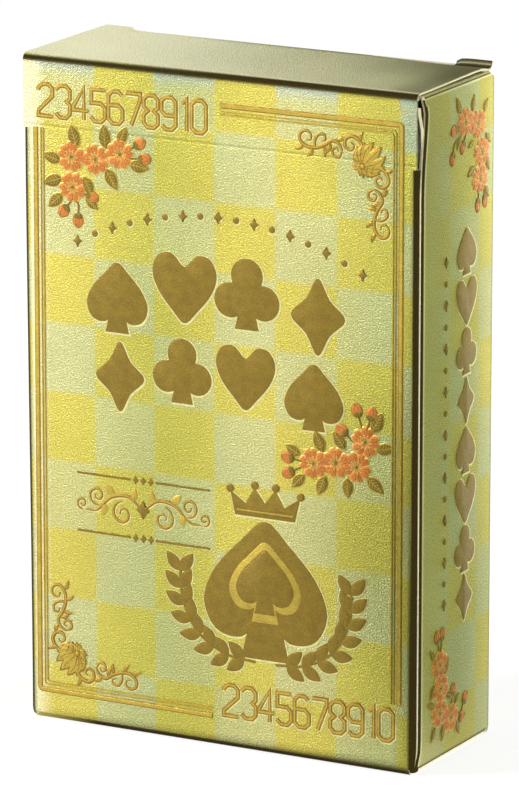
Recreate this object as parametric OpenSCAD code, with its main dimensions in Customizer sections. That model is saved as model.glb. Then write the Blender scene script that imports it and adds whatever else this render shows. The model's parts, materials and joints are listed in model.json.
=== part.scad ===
// Deck of playing cards in a folding carton of foil-faced board.
// The front panel is scored a little below the top, so the lid flips forward together with
// a strip of the front. The lid ends in a tuck flap that drops in behind the back panel,
// between two lock shoulders, and covers a dust flap on each side panel.
// Width runs along X, depth along Y with the front at -Y, and height along Z.

/* [Cards] */
// Width of a card
card_w = 58; // [50:0.5:70]
// Height of a card
card_h = 89; // [75:0.5:110]
// Thickness of a card
card_t = 0.33; // [0.28:0.01:0.38]
// Air between neighbouring cards
card_gap = 0.01; // [0.01:0.005:0.03]
// Corner radius of a card
card_corner_r = 3.2; // [1:0.1:6]

/* [Board] */
// Thickness of the board
board_t = 0.45; // [0.35:0.05:0.6]
// Outside radius of a folded edge
fold_r = 0.8; // [0.7:0.05:1.2]
// Air round a crease that turns
crease_gap = 0.06; // [0.04:0.01:0.1]

/* [Room for the deck] */
// Air on each side of the deck
side_room = 0.325; // [0.2:0.025:1]
// Air between the deck and the front panel
front_room = 0.3; // [0.2:0.05:1]
// Air between the deck and the back panel
back_room = 3.45; // [3.2:0.05:6]
// Air between the deck and the dust flaps above it
head_room = 3.05; // [2.8:0.05:6]

/* [Lid] */
// Height of the front strip that turns with the lid
flip_h = 9.8; // [9.8:0.1:14]
// How far the lid stops short of the carton on each side
lid_inset = 0.15; // [0.1:0.05:0.5]
// Air between the lid and the dust flaps
lid_room = 0.15; // [0.1:0.05:0.5]
// Width of the slits beside the front strip
slit_w = 0.1; // [0.1:0.05:0.3]
// Length of each lock shoulder along the back edge
shoulder_w = 4; // [2.5:0.1:6]

/* [Tuck flap] */
// Depth of the tuck flap
tuck_len = 8.6; // [6:0.1:8.6]
// How far the tuck flap stops short of the carton on each side
tuck_inset = 2.4; // [2.2:0.1:4]
// Corner radius of the tuck flap
tuck_corner_r = 4; // [1:0.1:5]
// Air between the tuck flap and the back panel
tuck_room = 0.2; // [0.2:0.05:0.4]
// Height of the lock slit between a shoulder and the flap's corner
lock_slit = 0.25; // [0.2:0.05:0.5]

/* [Dust flaps] */
// Length of a dust flap
dust_len = 15; // [10:0.5:18]
// How far the front edge runs in towards the free end
dust_taper = 5; // [5:0.25:7]
// Air between a dust flap and the front strip
dust_front_room = 0.5; // [0.4:0.05:1]
// Air between a dust flap's lock corner and the tuck flap
dust_back_room = 0.5; // [0.4:0.05:1]
// Length of the lock corner
dust_lock_len = 1.5; // [1:0.1:1.8]
// Relief beside the lock corner, for the swing of the tuck flap
dust_relief = 2.6; // [2.6:0.1:5]
// How far the back edge runs in towards the free end
dust_back_taper = 1.6; // [1.6:0.1:3]

/* [Seam and bottom] */
// Width of the glue flap
glue_flap_w = 15; // [8:0.5:18]
// Fall of the angled ends of the glue flap
glue_taper = 4; // [2:0.25:6]
// How far the right side's cut edge lies back from the front
seam_inset = 0.9; // [0.9:0.05:2]
// Length of the bottom dust flaps
bottom_dust_len = 20; // [10:0.5:24]
// Depth of the bottom tuck flap
bottom_tuck_len = 12; // [6:0.5:16]

/* [Thumb notch] */
// Radius of the thumb notch in the back panel
notch_r = 8; // [5:0.25:10]

/* [Hidden] */
$fn = 64;
eps = 0.5;
suits = ["spades", "hearts", "clubs", "diamonds"];
ranks = ["ace", "two", "three", "four", "five", "six", "seven",
         "eight", "nine", "ten", "jack", "queen", "king"];
cards = concat(
    ["joker_one", "joker_two"],
    [for (suit = suits) for (rank = ranks) str(rank, "_of_", suit)]
);

foil = [0.80, 0.76, 0.33];
stock = [0.95, 0.94, 0.90];

// The carton takes its size from the deck, the room around it and the layers of board
deck_d = len(cards)*card_t + (len(cards) - 1)*card_gap;
carton_w = card_w + 2*side_room + 3*board_t;
carton_d = deck_d + front_room + back_room + 2*board_t;
carton_h = card_h + head_room + lid_room + 4*board_t;
left = -carton_w/2;
right = carton_w/2;
front = -carton_d/2;
back = carton_d/2;

// The deck stands on the bottom dust flaps, midway between the left side and the glue flap
deck_x = -board_t/2;
deck_y = front + board_t + front_room;
deck_z = 2*board_t;

// Levels of the closure
lid_under = carton_h - board_t;
flap_z = lid_under - lid_room - board_t;
side_top = flap_z - crease_gap;
score_z = carton_h - flip_h;
slit_y = front + board_t + slit_w;
lid_w = carton_w - 2*lid_inset;
tuck_y = back - board_t - tuck_room;
tuck_w = carton_w - 2*tuck_inset;
neck_w = carton_w - 2*shoulder_w - 2*lock_slit;
lid_end = tuck_y - board_t - crease_gap;

// Sheet bent through a right angle: outer corner at the origin, legs along +X and +Y
module bent_sheet(leg_x, leg_y) {
    translate([fold_r, 0]) square([leg_x - fold_r, board_t]);
    translate([0, fold_r]) square([board_t, leg_y - fold_r]);
    bend();
}

// The rounded corner of a bent sheet
module bend() {
    intersection() {
        translate([fold_r, fold_r]) difference() {
            circle(r = fold_r);
            circle(r = fold_r - board_t);
        }
        square(fold_r);
    }
}

// Rectangle with its foot on the X axis and four round corners
module round_rect(w, h, r) {
    translate([r - w/2, 0]) square([w - 2*r, h]);
    translate([-w/2, r]) square([w, h - 2*r]);
    for (side = [-1, 1], level = [r, h - r]) {
        translate([side*(w/2 - r), level]) circle(r = r);
    }
}

// Raises a profile drawn in Y and Z to a bar of the given width along X, centred
module along_x(width) {
    rotate([90, 0, 90]) translate([0, 0, -width/2]) linear_extrude(width) children();
}

// Raises a profile drawn in X and Z to a bar along Y, from its back face towards the front
module along_y(back_face, depth) {
    translate([0, back_face, 0]) rotate([90, 0, 0]) linear_extrude(depth) children();
}

// Walls below the dust flaps, seen from above: left side, back and right side with the front
module wall_section() {
    translate([left, front]) bent_sheet(carton_w/2, carton_d/2);
    translate([left, back]) mirror([0, 1]) bent_sheet(carton_w/2, carton_d/2);
    translate([right, back]) mirror([1, 0]) mirror([0, 1])
        bent_sheet(carton_w/2, carton_d - seam_inset);
    translate([right - board_t, front]) mirror([1, 0]) {
        translate([fold_r, 0]) square([carton_w/2 - board_t - fold_r, board_t]);
        bend();
    }
}

// Glue flap behind the right side, with angled ends
module glue_flap() {
    y_fold = front + fold_r;
    y_end = front + glue_flap_w;
    z_low = board_t + fold_r;
    z_high = side_top - fold_r;
    translate([right - 2*board_t, 0, 0]) rotate([90, 0, 90]) linear_extrude(board_t)
        polygon([
            [y_fold, z_low],
            [y_end, z_low + glue_taper],
            [y_end, z_high - glue_taper],
            [y_fold, z_high]
        ]);
}

// Walls from the bottom folds up to the creases of the lid and the dust flaps
module walls() {
    z_low = board_t + fold_r;
    translate([0, 0, z_low]) linear_extrude(side_top - z_low) wall_section();
    glue_flap();
    translate([left + fold_r, front, fold_r])
        cube([carton_w - board_t - 2*fold_r, board_t, z_low - fold_r]);
    translate([left + fold_r, back - board_t, 0])
        cube([carton_w - 2*fold_r, board_t, z_low]);
    translate([left + fold_r, back - board_t, side_top])
        cube([carton_w - 2*fold_r, board_t, lid_under - side_top]);
}

// Bottom panel, folded from the front and tucked up behind the back panel, on two dust flaps
module bottom() {
    along_x(lid_w) {
        translate([front, 0]) bend();
        translate([front + fold_r, 0])
            square([carton_d - board_t - 2*fold_r, board_t]);
    }
    along_x(tuck_w) translate([back - board_t, 0]) mirror([1, 0])
        bent_sheet(2*fold_r, bottom_tuck_len);
    y_far = back - 2*board_t - tuck_room;
    y_near = front + fold_r + slit_w;
    along_y(y_far, y_far - y_near) for (side = [0, 1]) mirror([side, 0])
        translate([left, board_t]) bent_sheet(bottom_dust_len, fold_r + board_t);
}

// Room that the front strip of the lid needs, with a hollow for its rolled lower edge
module flip_cut() {
    translate([left - eps, front - eps, score_z])
        cube([carton_w + 2*eps, slit_y - front + eps, flip_h]);
    translate([left - eps, front, score_z]) rotate([0, 90, 0])
        cylinder(r = board_t + crease_gap, h = carton_w + 2*eps);
}

module carton() {
    color(foil) difference() {
        union() {
            walls();
            bottom();
        }
        flip_cut();
        along_y(back + eps, board_t + eps + tuck_room/2)
            translate([0, lid_under]) circle(r = notch_r);
    }
}

// Front strip and top panel in one bent sheet, with the lock shoulders at its back edge
module lid() {
    color(foil) union() {
        along_x(lid_w) {
            translate([front, carton_h]) mirror([0, 1]) bent_sheet(lid_end - front, flip_h);
            intersection() {
                translate([front, score_z]) circle(r = board_t);
                translate([front, score_z - board_t]) square(board_t);
            }
        }
        for (side = [0, 1]) mirror([side, 0, 0])
            translate([lid_w/2 - shoulder_w + lid_inset, lid_end - eps, lid_under])
                cube([shoulder_w - lid_inset, back - lid_end + eps, board_t]);
    }
}

// Flap with a rolled upper edge between the shoulders and two round lower corners
module tuck_flap() {
    mid_z = carton_h - board_t/2;
    top_z = lid_under - lock_slit;
    foot_z = carton_h - tuck_len;
    color(foil) union() {
        along_y(tuck_y, board_t) {
            translate([-tuck_w/2, foot_z + tuck_corner_r])
                square([tuck_w, top_z - foot_z - tuck_corner_r]);
            translate([tuck_corner_r - tuck_w/2, foot_z])
                square([tuck_w - 2*tuck_corner_r, tuck_corner_r]);
            for (side = [-1, 1])
                translate([side*(tuck_w/2 - tuck_corner_r), foot_z + tuck_corner_r])
                    circle(r = tuck_corner_r);
            translate([-neck_w/2, top_z]) square([neck_w, mid_z - top_z]);
        }
        translate([-neck_w/2, tuck_y - board_t/2, mid_z]) rotate([0, 90, 0])
            cylinder(d = board_t, h = neck_w);
    }
}

// Flap with a rolled outer edge, a lock corner at the back and tapered long edges
module dust_flap() {
    crease_x = right - board_t/2;
    y_front = slit_y + dust_front_room;
    y_lock = tuck_y - board_t - dust_back_room;
    tip_x = crease_x - dust_len;
    translate([0, 0, flap_z]) linear_extrude(board_t) polygon([
        [crease_x, y_front],
        [crease_x, y_lock],
        [crease_x - dust_lock_len, y_lock],
        [crease_x - dust_lock_len, y_lock - dust_relief],
        [tip_x, y_lock - dust_relief - dust_back_taper],
        [tip_x, y_front + dust_taper]
    ]);
    translate([crease_x, y_lock, flap_z + board_t/2]) rotate([90, 0, 0])
        cylinder(d = board_t, h = y_lock - y_front);
}

module dust_flap_left() {
    color(foil) mirror([1, 0, 0]) dust_flap();
}

module dust_flap_right() {
    color(foil) dust_flap();
}

// One card of the deck, counted from the front
module card(place) {
    color(stock) translate([deck_x, 0, deck_z])
        along_y(deck_y + place*(card_t + card_gap) + card_t, card_t)
            round_rect(card_w, card_h, card_corner_r);
}

carton();
lid();
tuck_flap();
dust_flap_left();
dust_flap_right();
for (place = [0 : len(cards) - 1]) {
    card(place);
}
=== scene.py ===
"""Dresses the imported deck: a carton folded from foil-faced board with embossed print, and the cards in it."""

import json
import math
from types import SimpleNamespace

import bmesh
import bpy
import numpy as np
from bpy.props import FloatProperty, FloatVectorProperty
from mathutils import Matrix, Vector


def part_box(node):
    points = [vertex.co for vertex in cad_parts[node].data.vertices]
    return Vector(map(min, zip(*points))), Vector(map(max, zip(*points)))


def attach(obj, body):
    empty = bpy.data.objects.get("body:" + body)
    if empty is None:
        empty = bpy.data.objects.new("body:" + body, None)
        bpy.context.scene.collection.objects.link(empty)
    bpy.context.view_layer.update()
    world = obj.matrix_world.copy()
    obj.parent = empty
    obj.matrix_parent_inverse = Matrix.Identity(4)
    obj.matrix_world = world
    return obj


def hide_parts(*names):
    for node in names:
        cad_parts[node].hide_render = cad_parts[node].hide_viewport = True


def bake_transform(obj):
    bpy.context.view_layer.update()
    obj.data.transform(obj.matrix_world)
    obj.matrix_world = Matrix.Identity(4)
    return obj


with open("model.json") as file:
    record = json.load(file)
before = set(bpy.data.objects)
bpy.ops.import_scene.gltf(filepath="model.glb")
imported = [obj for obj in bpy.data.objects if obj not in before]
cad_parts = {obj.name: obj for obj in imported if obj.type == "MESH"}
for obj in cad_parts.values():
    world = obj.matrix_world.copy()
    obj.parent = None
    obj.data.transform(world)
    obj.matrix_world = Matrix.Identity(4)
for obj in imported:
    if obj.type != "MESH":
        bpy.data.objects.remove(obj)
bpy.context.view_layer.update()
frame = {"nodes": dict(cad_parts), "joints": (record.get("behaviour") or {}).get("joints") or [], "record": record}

bl_info = {
    "name": "Boxed Deck of Cards",
    "version": (1, 0, 0),
    "blender": (4, 5, 0),
    "location": "View3D > Sidebar > Deck",
    "description": "Foil-faced carton with embossed print, and the cards in it",
    "category": "Object",
}

MM = 0.001
FLAT = "sheet_mm"  # UV map that holds a point's place on the flat sheet, in millimetres
LID_CREASE = next(joint["pos_m"] for joint in frame["joints"] if joint["name"] == "lid_hinge")
CARDS = frame["record"]["behaviour"]["bodies"]["deck"]  # from the front of the deck to its back
CARTON_LOW, CARTON_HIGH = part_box("carton")
LID_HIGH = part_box("lid")[1]
TUCK_LOW, TUCK_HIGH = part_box("tuck_flap")
DUST_LOW, DUST_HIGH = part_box("dust_flap_right")


def linear(code):
    """Scene-linear RGBA of an sRGB hex colour."""
    parts = [int(code[i : i + 2], 16) / 255 for i in (1, 3, 5)]
    return (*[c / 12.92 if c <= 0.04045 else ((c + 0.055) / 1.055) ** 2.4 for c in parts], 1.0)


def length(name, about, default):
    """A property that holds a length in metres."""
    return FloatProperty(name=name, description=about, default=default, min=0.0, unit="LENGTH", precision=5)


def colour(name, about, code):
    """A property that holds a colour, which starts from an sRGB hex code."""
    return FloatVectorProperty(
        name=name, description=about, default=linear(code), size=4, min=0.0, max=1.0, subtype="COLOR"
    )


class DeckSizes(bpy.types.PropertyGroup):
    """Sizes of the sheet that the carton is folded from."""

    width: length("Width", "Carton from side to side", CARTON_HIGH.x - CARTON_LOW.x)
    depth: length("Depth", "Carton from front to back", CARTON_HIGH.y - CARTON_LOW.y)
    height: length("Height", "Carton from its foot to the lid's top", LID_HIGH.z)
    board: length("Board", "Thickness of the board", DUST_HIGH.z - DUST_LOW.z)
    fold: length("Fold radius", "Outside radius of a folded edge", 0.0008)
    crease: length("Crease height", "Height of the crease that the lid turns on", LID_CREASE[2])
    notch: length("Thumb notch", "Radius of the notch in the back panel", 0.008)
    square_w: length("Check width", "Width of one square of the printed check", 0.00933)
    square_h: length("Check height", "Height of one square of the printed check", 0.00971)
    relief: length("Emboss", "Height of the embossed print", 0.0001)


class DeckColours(bpy.types.PropertyGroup):
    """Colours of the foil, the inks and the stock."""

    yellow: colour("Yellow square", "Foil under yellow ink", "#c8bb59")
    pale: colour("Pale square", "Foil under thin ink", "#c0bf86")
    plain: colour("Lid top", "Foil without the check", "#ece9bc")
    # painted shade: the dark of a fold stands in for its dark reflection and shade
    crease: colour("Crease", "Foil where a fold has stretched it", "#30280e")
    gold: colour("Gold ink", "Lines, numbers and scrolls", "#bba246")
    amber: colour("Amber ink", "Edge of the gold ink", "#96742a")
    bronze: colour("Bronze ink", "Large pips and the emblem", "#856e25")
    coral: colour("Coral ink", "Petals and buds", "#c97b3a")
    leaf: colour("Leaf ink", "Leaves and stems", "#7d6825")
    stamen: colour("Stamen ink", "Hearts of the blossoms", "#d3b25e")
    # painted highlight: the colour of bright lines painted along cut edges, folds and the front's left edge
    worn: colour("Worn foil", "Foil rubbed bright along an edge", "#f1e9bf")
    # painted reflection: a cool tint for the foil below the top fold and at the front strip's right end
    cool: colour("Cool foil", "Thinly inked foil next to the top fold", "#aab6ad")
    # painted highlight: pale rims set down and right of the embossed print
    rim: colour("Rim", "Bare foil round the embossed print", "#dfd896")
    liner: colour("Liner", "Inside of the board", "#d6d2c4")
    cut: colour("Cut edge", "Raw edge of the board", "#f8f0ca")
    stock: colour("Card stock", "Faces of the cards", "#f3f0e6")
    card_back: colour("Card back", "Lattice on the backs of the cards", "#8f7a34")
    red: colour("Card red", "Hearts and diamonds on the cards", "#a8262b")
    black: colour("Card black", "Spades and clubs on the cards", "#26241f")


def sizes():
    """The carton's sizes in millimetres, with half its width and depth."""
    group = bpy.context.scene.deck_sizes
    found = {key: getattr(group, key) * 1000 for key in DeckSizes.__annotations__}
    return SimpleNamespace(**found, x=found["width"] / 2, y=found["depth"] / 2)


def colours():
    """The scene's colours."""
    return bpy.context.scene.deck_colours


# Materials

RIGHT_MIDDLE = -118.94  # place of the right side's middle on the flat sheet, in millimetres
# Noise that draws the grain rolled into the foil, with a size of 0.22 mm
GRAIN = {"Scale": 1 / 0.22, "Detail": 2.0, "Roughness": 0.6}
CHECK_START = (0.0675, -0.855, 0.0)  # where the check starts on the sheet, in squares
# painted sheen: the foil's darker upright bands are scaled to this tint
PAINTED_SHEEN_TINT = (0.76, 0.82, 0.76, 1.0)  # the darker bands of the foil take this share of the light
# How far the foil at a point has painted fold shade, is bare of print, has a painted highlight or has a painted
# cool reflection
LAYERS = ("crease", "plain", "wear", "cool")
# Each ink's material, metallic share, roughness and tooth
INKS = {
    "gold": ("Gold ink on foil", 0.85, 0.38, 0.6),
    "amber": ("Amber ink on foil", 0.75, 0.4, 0.6),
    "bronze": ("Bronze ink on foil", 0.65, 0.42, 0.6),
    "coral": ("Coral ink on foil", 0.65, 0.42, 0.6),
    "leaf": ("Leaf ink on foil", 0.65, 0.42, 0.6),
    "stamen": ("Stamen ink on foil", 0.7, 0.4, 0.6),
    # rim paints a highlight beside the embossed print
    "rim": ("Bare embossed foil", 0.85, 0.35, 0.6),
    "red": ("Red ink on card stock", 0.0, 0.4, 0.05),
    "black": ("Black ink on card stock", 0.0, 0.4, 0.05),
}


def node(tree, kind, inputs=(), **settings):
    """Adds a shader node with its settings. The inputs come in the node's own order or by key.
    A node among them stands for its first output."""
    made = tree.nodes.new("ShaderNode" + kind)
    for key, value in settings.items():
        setattr(made, key, value)
    for key, value in inputs.items() if isinstance(inputs, dict) else enumerate(inputs):
        if isinstance(value, bpy.types.Node):
            value = next(socket for socket in value.outputs if socket.enabled)
        if isinstance(value, bpy.types.NodeSocket):
            tree.links.new(value, made.inputs[key])
        else:
            made.inputs[key].default_value = value
    return made


def blank(name):
    """A new material and its empty tree."""
    material = bpy.data.materials.new(name)
    material.use_nodes = True
    material.node_tree.nodes.clear()
    return material, material.node_tree


def once(name, make, *look):
    """The material of this name, made where it isn't there yet."""
    return bpy.data.materials.get(name) or make(name, *look)


def foil_board(name):
    """Folding board laminated with foil, printed with a see-through check and rolled with a fine grain.
    The foil gives a satin shine and the grain breaks it up. Painted shade darkens the folds, and painted
    highlights, sheen bands and a cool reflection lie on the foil."""
    s, c = sizes(), colours()
    material, tree = blank(name)
    place = node(tree, "UVMap", uv_map=FLAT)
    layer = {key: node(tree, "Attribute", attribute_name=key).outputs["Fac"] for key in LAYERS}
    # Soft-edged check: each edge fades over about 0.7 mm, and the ink lies thinner here and there
    scale = (1 / s.square_w, 1 / s.square_h, 1.0)
    squares = node(tree, "Mapping", {"Vector": place, "Location": CHECK_START, "Scale": scale})
    squares = node(tree, "SeparateXYZ", [squares])
    waves = []
    for axis in "XY":
        turn = node(tree, "Math", [squares.outputs[axis], math.pi], operation="MULTIPLY")
        wave = node(tree, "Math", [turn], operation="SINE")
        waves.append(node(tree, "MapRange", [wave, -0.12, 0.12, -1.0, 1.0]))
    check = node(tree, "Math", waves, operation="MULTIPLY")
    check = node(tree, "MapRange", [check, 1.0, -1.0])
    thin = node(tree, "TexNoise", {"Vector": place, "Scale": 1 / 22, "Detail": 1.0})
    thin = node(tree, "MapRange", [thin, 0.3, 0.6, 0.7, 1.0])
    check = node(tree, "Math", [check, thin], operation="MULTIPLY")
    # Next to the seam on the right side the two inks run together and the check hardly shows
    across = node(tree, "SeparateXYZ", [place]).outputs["X"]
    clear = node(tree, "MapRange", [across, RIGHT_MIDDLE - 8.5, RIGHT_MIDDLE - 2.0, 0.08, 1.0])
    check = node(tree, "Mix", {0: clear, 2: 0.5, 3: check})
    face = node(tree, "Mix", {0: check, 6: c.yellow, 7: c.pale}, data_type="RGBA")
    # Painted cool reflection on the pale squares, then the bare foil of the lid top
    cool = node(tree, "Math", [layer["cool"], check], operation="MULTIPLY")
    for share, tint in ((cool, c.cool), (layer["plain"], c.plain)):
        face = node(tree, "Mix", {0: share, 6: face, 7: tint}, data_type="RGBA")
    # Painted sheen: the foil darkens in soft upright bands, 36 mm apart, and less so where it has no print
    swing = {"Scale": math.pi / 10 / 36, "Distortion": 1.2, "Detail": 1.0, "Detail Scale": 3.0}
    painted_sheen = node(tree, "TexWave", {"Vector": place, "Phase Offset": math.pi / 2, **swing})
    painted_sheen = node(tree, "MapRange", [painted_sheen.outputs["Fac"], 0.0, 1.0, 1.0, 0.0])
    printed = node(tree, "MapRange", [layer["plain"], 0.0, 1.0, 1.0, 0.15])
    painted_sheen = node(tree, "Math", [painted_sheen, printed], operation="MULTIPLY")
    darker = {0: painted_sheen, 6: face, 7: PAINTED_SHEEN_TINT}
    face = node(tree, "Mix", darker, data_type="RGBA", blend_type="MULTIPLY")
    # Leather grain with bumps of about 0.3 mm, rolled into the foil, over a drift of about 18 mm
    drift = node(tree, "TexNoise", {"Vector": place, "Scale": 1 / 18, "Detail": 2.0})
    grain = node(tree, "TexNoise", {"Vector": place, **GRAIN})
    spans = ((drift, 0.93, 1.07), (grain, 0.62, 1.36))
    level = [node(tree, "MapRange", [source, 0.25, 0.75, low, high]) for source, low, high in spans]
    level = node(tree, "Math", level, operation="MULTIPLY")
    face = node(tree, "VectorMath", {0: face, "Scale": level}, operation="SCALE")
    # Painted highlight along cut edges, folds and the front's left edge
    face = node(tree, "Mix", {0: layer["wear"], 6: face, 7: c.worn}, data_type="RGBA")
    rough = node(tree, "MapRange", [grain, 0.0, 1.0, 0.32, 0.5])
    relief = node(tree, "Bump", {"Strength": 0.75, "Distance": 0.0002, "Height": grain})
    look = {"Metallic": 0.86, "Roughness": rough, "Specular IOR Level": 0.2, "Normal": relief}
    foil = node(tree, "BsdfPrincipled", {"Base Color": face, **look})
    # Painted shade for folds and shaded places, standing in for their dark reflection: dark, dull and a little
    # uneven
    dull = node(tree, "VectorMath", {0: c.crease[:3], "Scale": level}, operation="SCALE")
    look = {"Roughness": 0.6, "Specular IOR Level": 0.03}
    folded = node(tree, "BsdfPrincipled", {"Base Color": dull, **look})
    node(tree, "OutputMaterial", [node(tree, "MixShader", [layer["crease"], foil, folded])])
    return material


def raw_board(name, tint, fibre, detail, gain, low, high, roughness, bump):
    """Board without foil: matt paper with fibres of this size in millimetres."""
    material, tree = blank(name)
    place = node(tree, "UVMap", uv_map=FLAT)
    fibres = {"Scale": 1 / fibre, "Detail": detail, "Roughness": gain}
    pulp = node(tree, "TexNoise", {"Vector": place, **fibres})
    tone = node(tree, "MapRange", [pulp, 0.3, 0.7, low, high])
    paint = node(tree, "VectorMath", {0: tint[:3], "Scale": tone}, operation="SCALE")
    look = {"Base Color": paint, "Roughness": roughness}
    if bump:
        look["Normal"] = node(tree, "Bump", {"Strength": bump, "Distance": 0.00005, "Height": pulp})
    node(tree, "OutputMaterial", [node(tree, "BsdfPrincipled", look)])
    return material


def board_materials():
    """Foil, liner and cut edge, made once."""
    c = colours()
    return [
        once("Embossed gold foil on folding board", foil_board),
        # The board's uncoated back: grey-white and matt, with short fibres and a few darker specks
        once("Uncoated liner of folding board", raw_board, c.liner, 0.6, 4.0, 0.7, 0.9, 1.03, 0.85, 0.2),
        # Cream pulp in thin layers, quite matt
        once("Die-cut edge of folding board", raw_board, c.cut, 0.9, 3.0, 0.5, 0.84, 1.0, 0.8, 0.0),
    ]


def printed_ink(name, tint, metallic, roughness, tooth):
    """Ink on foil or on card stock. It lies a little unevenly on the grain, and foil shines through it."""
    material, tree = blank(name)
    place = node(tree, "UVMap", uv_map=FLAT)
    # Uneven ink over about 1.4 mm, on the grain that the foil has
    film = node(tree, "TexNoise", {"Vector": place, "Scale": 1 / 1.4, "Detail": 3.0})
    film = node(tree, "MapRange", [film, 0.3, 0.7, 0.86, 1.1])
    grain = node(tree, "TexNoise", {"Vector": place, **GRAIN})
    speck = node(tree, "MapRange", [grain, 0.25, 0.75, 1 - 0.5 * tooth, 1 + 0.5 * tooth])
    tone = node(tree, "Math", [film, speck], operation="MULTIPLY")
    paint = node(tree, "VectorMath", {0: tint[:3], "Scale": tone}, operation="SCALE")
    relief = node(tree, "Bump", {"Strength": tooth, "Distance": 0.0001, "Height": grain})
    look = {"Metallic": metallic, "Roughness": roughness, "Normal": relief}
    node(tree, "OutputMaterial", [node(tree, "BsdfPrincipled", {"Base Color": paint, **look})])
    return material


def inks():
    """The inks by key, made once."""
    c = colours()
    made = {}
    for key, (name, *look) in INKS.items():
        made[key] = once(name, printed_ink, getattr(c, key), *look)
    return made


def card_stock():
    """Coated card stock: smooth white faces with a faint linen tooth, and a lattice on the back.
    The cut edges differ a little in tone from card to card, so that the stack shows its layers."""
    c = colours()
    front, behind = (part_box(name)[0].y * 1000 for name in CARDS[:2])
    pitch = behind - front
    material, tree = blank("Coated card stock")
    spot = node(tree, "TexCoord").outputs["Object"]
    spot = node(tree, "VectorMath", {0: spot, "Scale": 1000.0}, operation="SCALE")
    side = node(tree, "SeparateXYZ", [node(tree, "NewGeometry").outputs["Normal"]]).outputs["Y"]
    # Lattice of 3 mm diamonds
    turn = {"Rotation": (0.0, math.radians(45), 0.0), "Scale": (1 / 3, 0.0, 1 / 3)}
    lattice = node(tree, "Mapping", {"Vector": spot, "Location": (0.0, 0.5, 0.0), **turn})
    tints = {"Color1": c.card_back, "Color2": c.stock}
    lattice = node(tree, "TexChecker", {"Vector": lattice, "Scale": 1.0, **tints})
    rear = node(tree, "Math", [side, 0.5], operation="GREATER_THAN")
    printed = node(tree, "Mix", {0: rear, 6: c.stock, 7: lattice}, data_type="RGBA")
    # Each card's own edge
    depth = node(tree, "SeparateXYZ", [spot]).outputs["Y"]
    layer = node(tree, "Math", [depth, 1 / pitch, 0.01 - front / pitch], operation="MULTIPLY_ADD")
    layer = node(tree, "Math", [layer], operation="FLOOR")
    own = node(tree, "TexWhiteNoise", {"W": layer}, noise_dimensions="1D").outputs["Value"]
    own = node(tree, "MapRange", [own, 0.0, 1.0, 0.62, 1.0])
    edge = node(tree, "VectorMath", {0: c.stock[:3], "Scale": own}, operation="SCALE")
    flat = node(tree, "Math", [side], operation="ABSOLUTE")
    edged = node(tree, "Mix", {0: flat, 6: edge, 7: printed}, data_type="RGBA")
    fibre = node(tree, "TexNoise", {"Vector": spot, "Scale": 1 / 0.5, "Detail": 3.0})
    tone = node(tree, "MapRange", [fibre, 0.3, 0.7, 0.93, 1.0])
    paint = node(tree, "VectorMath", {0: edged, "Scale": tone}, operation="SCALE")
    # The faces are coated, the cut edges are raw
    coat = node(tree, "MapRange", [flat, 0.0, 1.0, 0.9, 0.42])
    relief = node(tree, "Bump", {"Strength": 0.1, "Distance": 0.00005, "Height": fibre})
    shader = node(tree, "BsdfPrincipled", {"Base Color": paint, "Roughness": coat, "Normal": relief})
    node(tree, "OutputMaterial", [shader])
    return material


# Sheets of board

LEFT_SPREAD = 0.4  # the left edge spreads this far at the top
SEAM_STAND = 0.5  # the right side stands this far out at the seam
SEAM_INSET = 0.35  # its cut edge lies this far behind the front
SEAM_LEAN = 1.15  # and this much farther back at the top
EDGE_SOFT = 0.45  # a fold's painted shade fades out this far onto the flat
DUST_FROM, DUST_TO = -9.7, 9.9  # the dust flaps' stretch of the side panels' top
DUST_FOOT = 92.0  # the dust flaps' own sheets start here
CORNER_FOLDS = ("front_left", "front_right", "back_left", "back_right")
CREASE_REACH = 0.5  # the lid's sheet starts this far below its crease, and bends up to as far above
FLAP_DULL = 0.35  # the flaps' foil is mixed this far towards the dark, dull shader that paints the folds' shade
GLUE_INSET = 0.03  # the glue flap lies this far inside the right side
GLUE_REACH, GLUE_TAPER = 15, 4  # it reaches this far back, and each end tapers by this much
SIDE_CUT = 0.66  # the side panels end this far below the carton's highest point
BACK_CORNER = 1.25  # their upper corner at the back is round over this stretch
NOTCH_FROM = 78  # the back panel's rows draw together from this height up to the thumb notch
FOOT_PULL = 0.3  # a folded corner draws in this far at its foot
BOTTOM_INSET = 0.75  # the bottom panel is narrower than the carton by this much on each side
BOTTOM_TUCK_INSET = 2.25  # and its tuck flap by this much more
BOTTOM_DUST = 20  # the bottom dust flaps reach this far in
LID_INSET = 0.15  # the lid's right edge lies this far in
LID_FOLD = 1.25  # the lid's front fold is this much rounder than the others


def mesh_piece(name, points, faces, kinds, materials, places, layers=()):
    """A mesh object from points in millimetres, with each point's place on the flat sheet as its UV."""
    mesh = bpy.data.meshes.new(name)
    mesh.from_pydata([tuple(MM * float(k) for k in p) for p in points], [], faces)
    for material in materials:
        mesh.materials.append(material)
    mesh.polygons.foreach_set("material_index", kinds)
    corner = np.zeros(len(mesh.loops), np.int32)
    mesh.loops.foreach_get("vertex_index", corner)
    flat = mesh.uv_layers.new(name=FLAT)
    flat.uv.foreach_set("vector", np.asarray(places, np.float32)[corner].ravel())
    for key, values in dict(layers).items():
        mesh.attributes.new(key, "FLOAT", "POINT").data.foreach_set("value", np.asarray(values, np.float32))
    mesh.shade_smooth()
    mesh.set_sharp_from_angle(angle=math.radians(38))
    mesh.update()
    piece = bpy.data.objects.new(name, mesh)
    bpy.context.scene.collection.objects.link(piece)
    return piece


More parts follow.
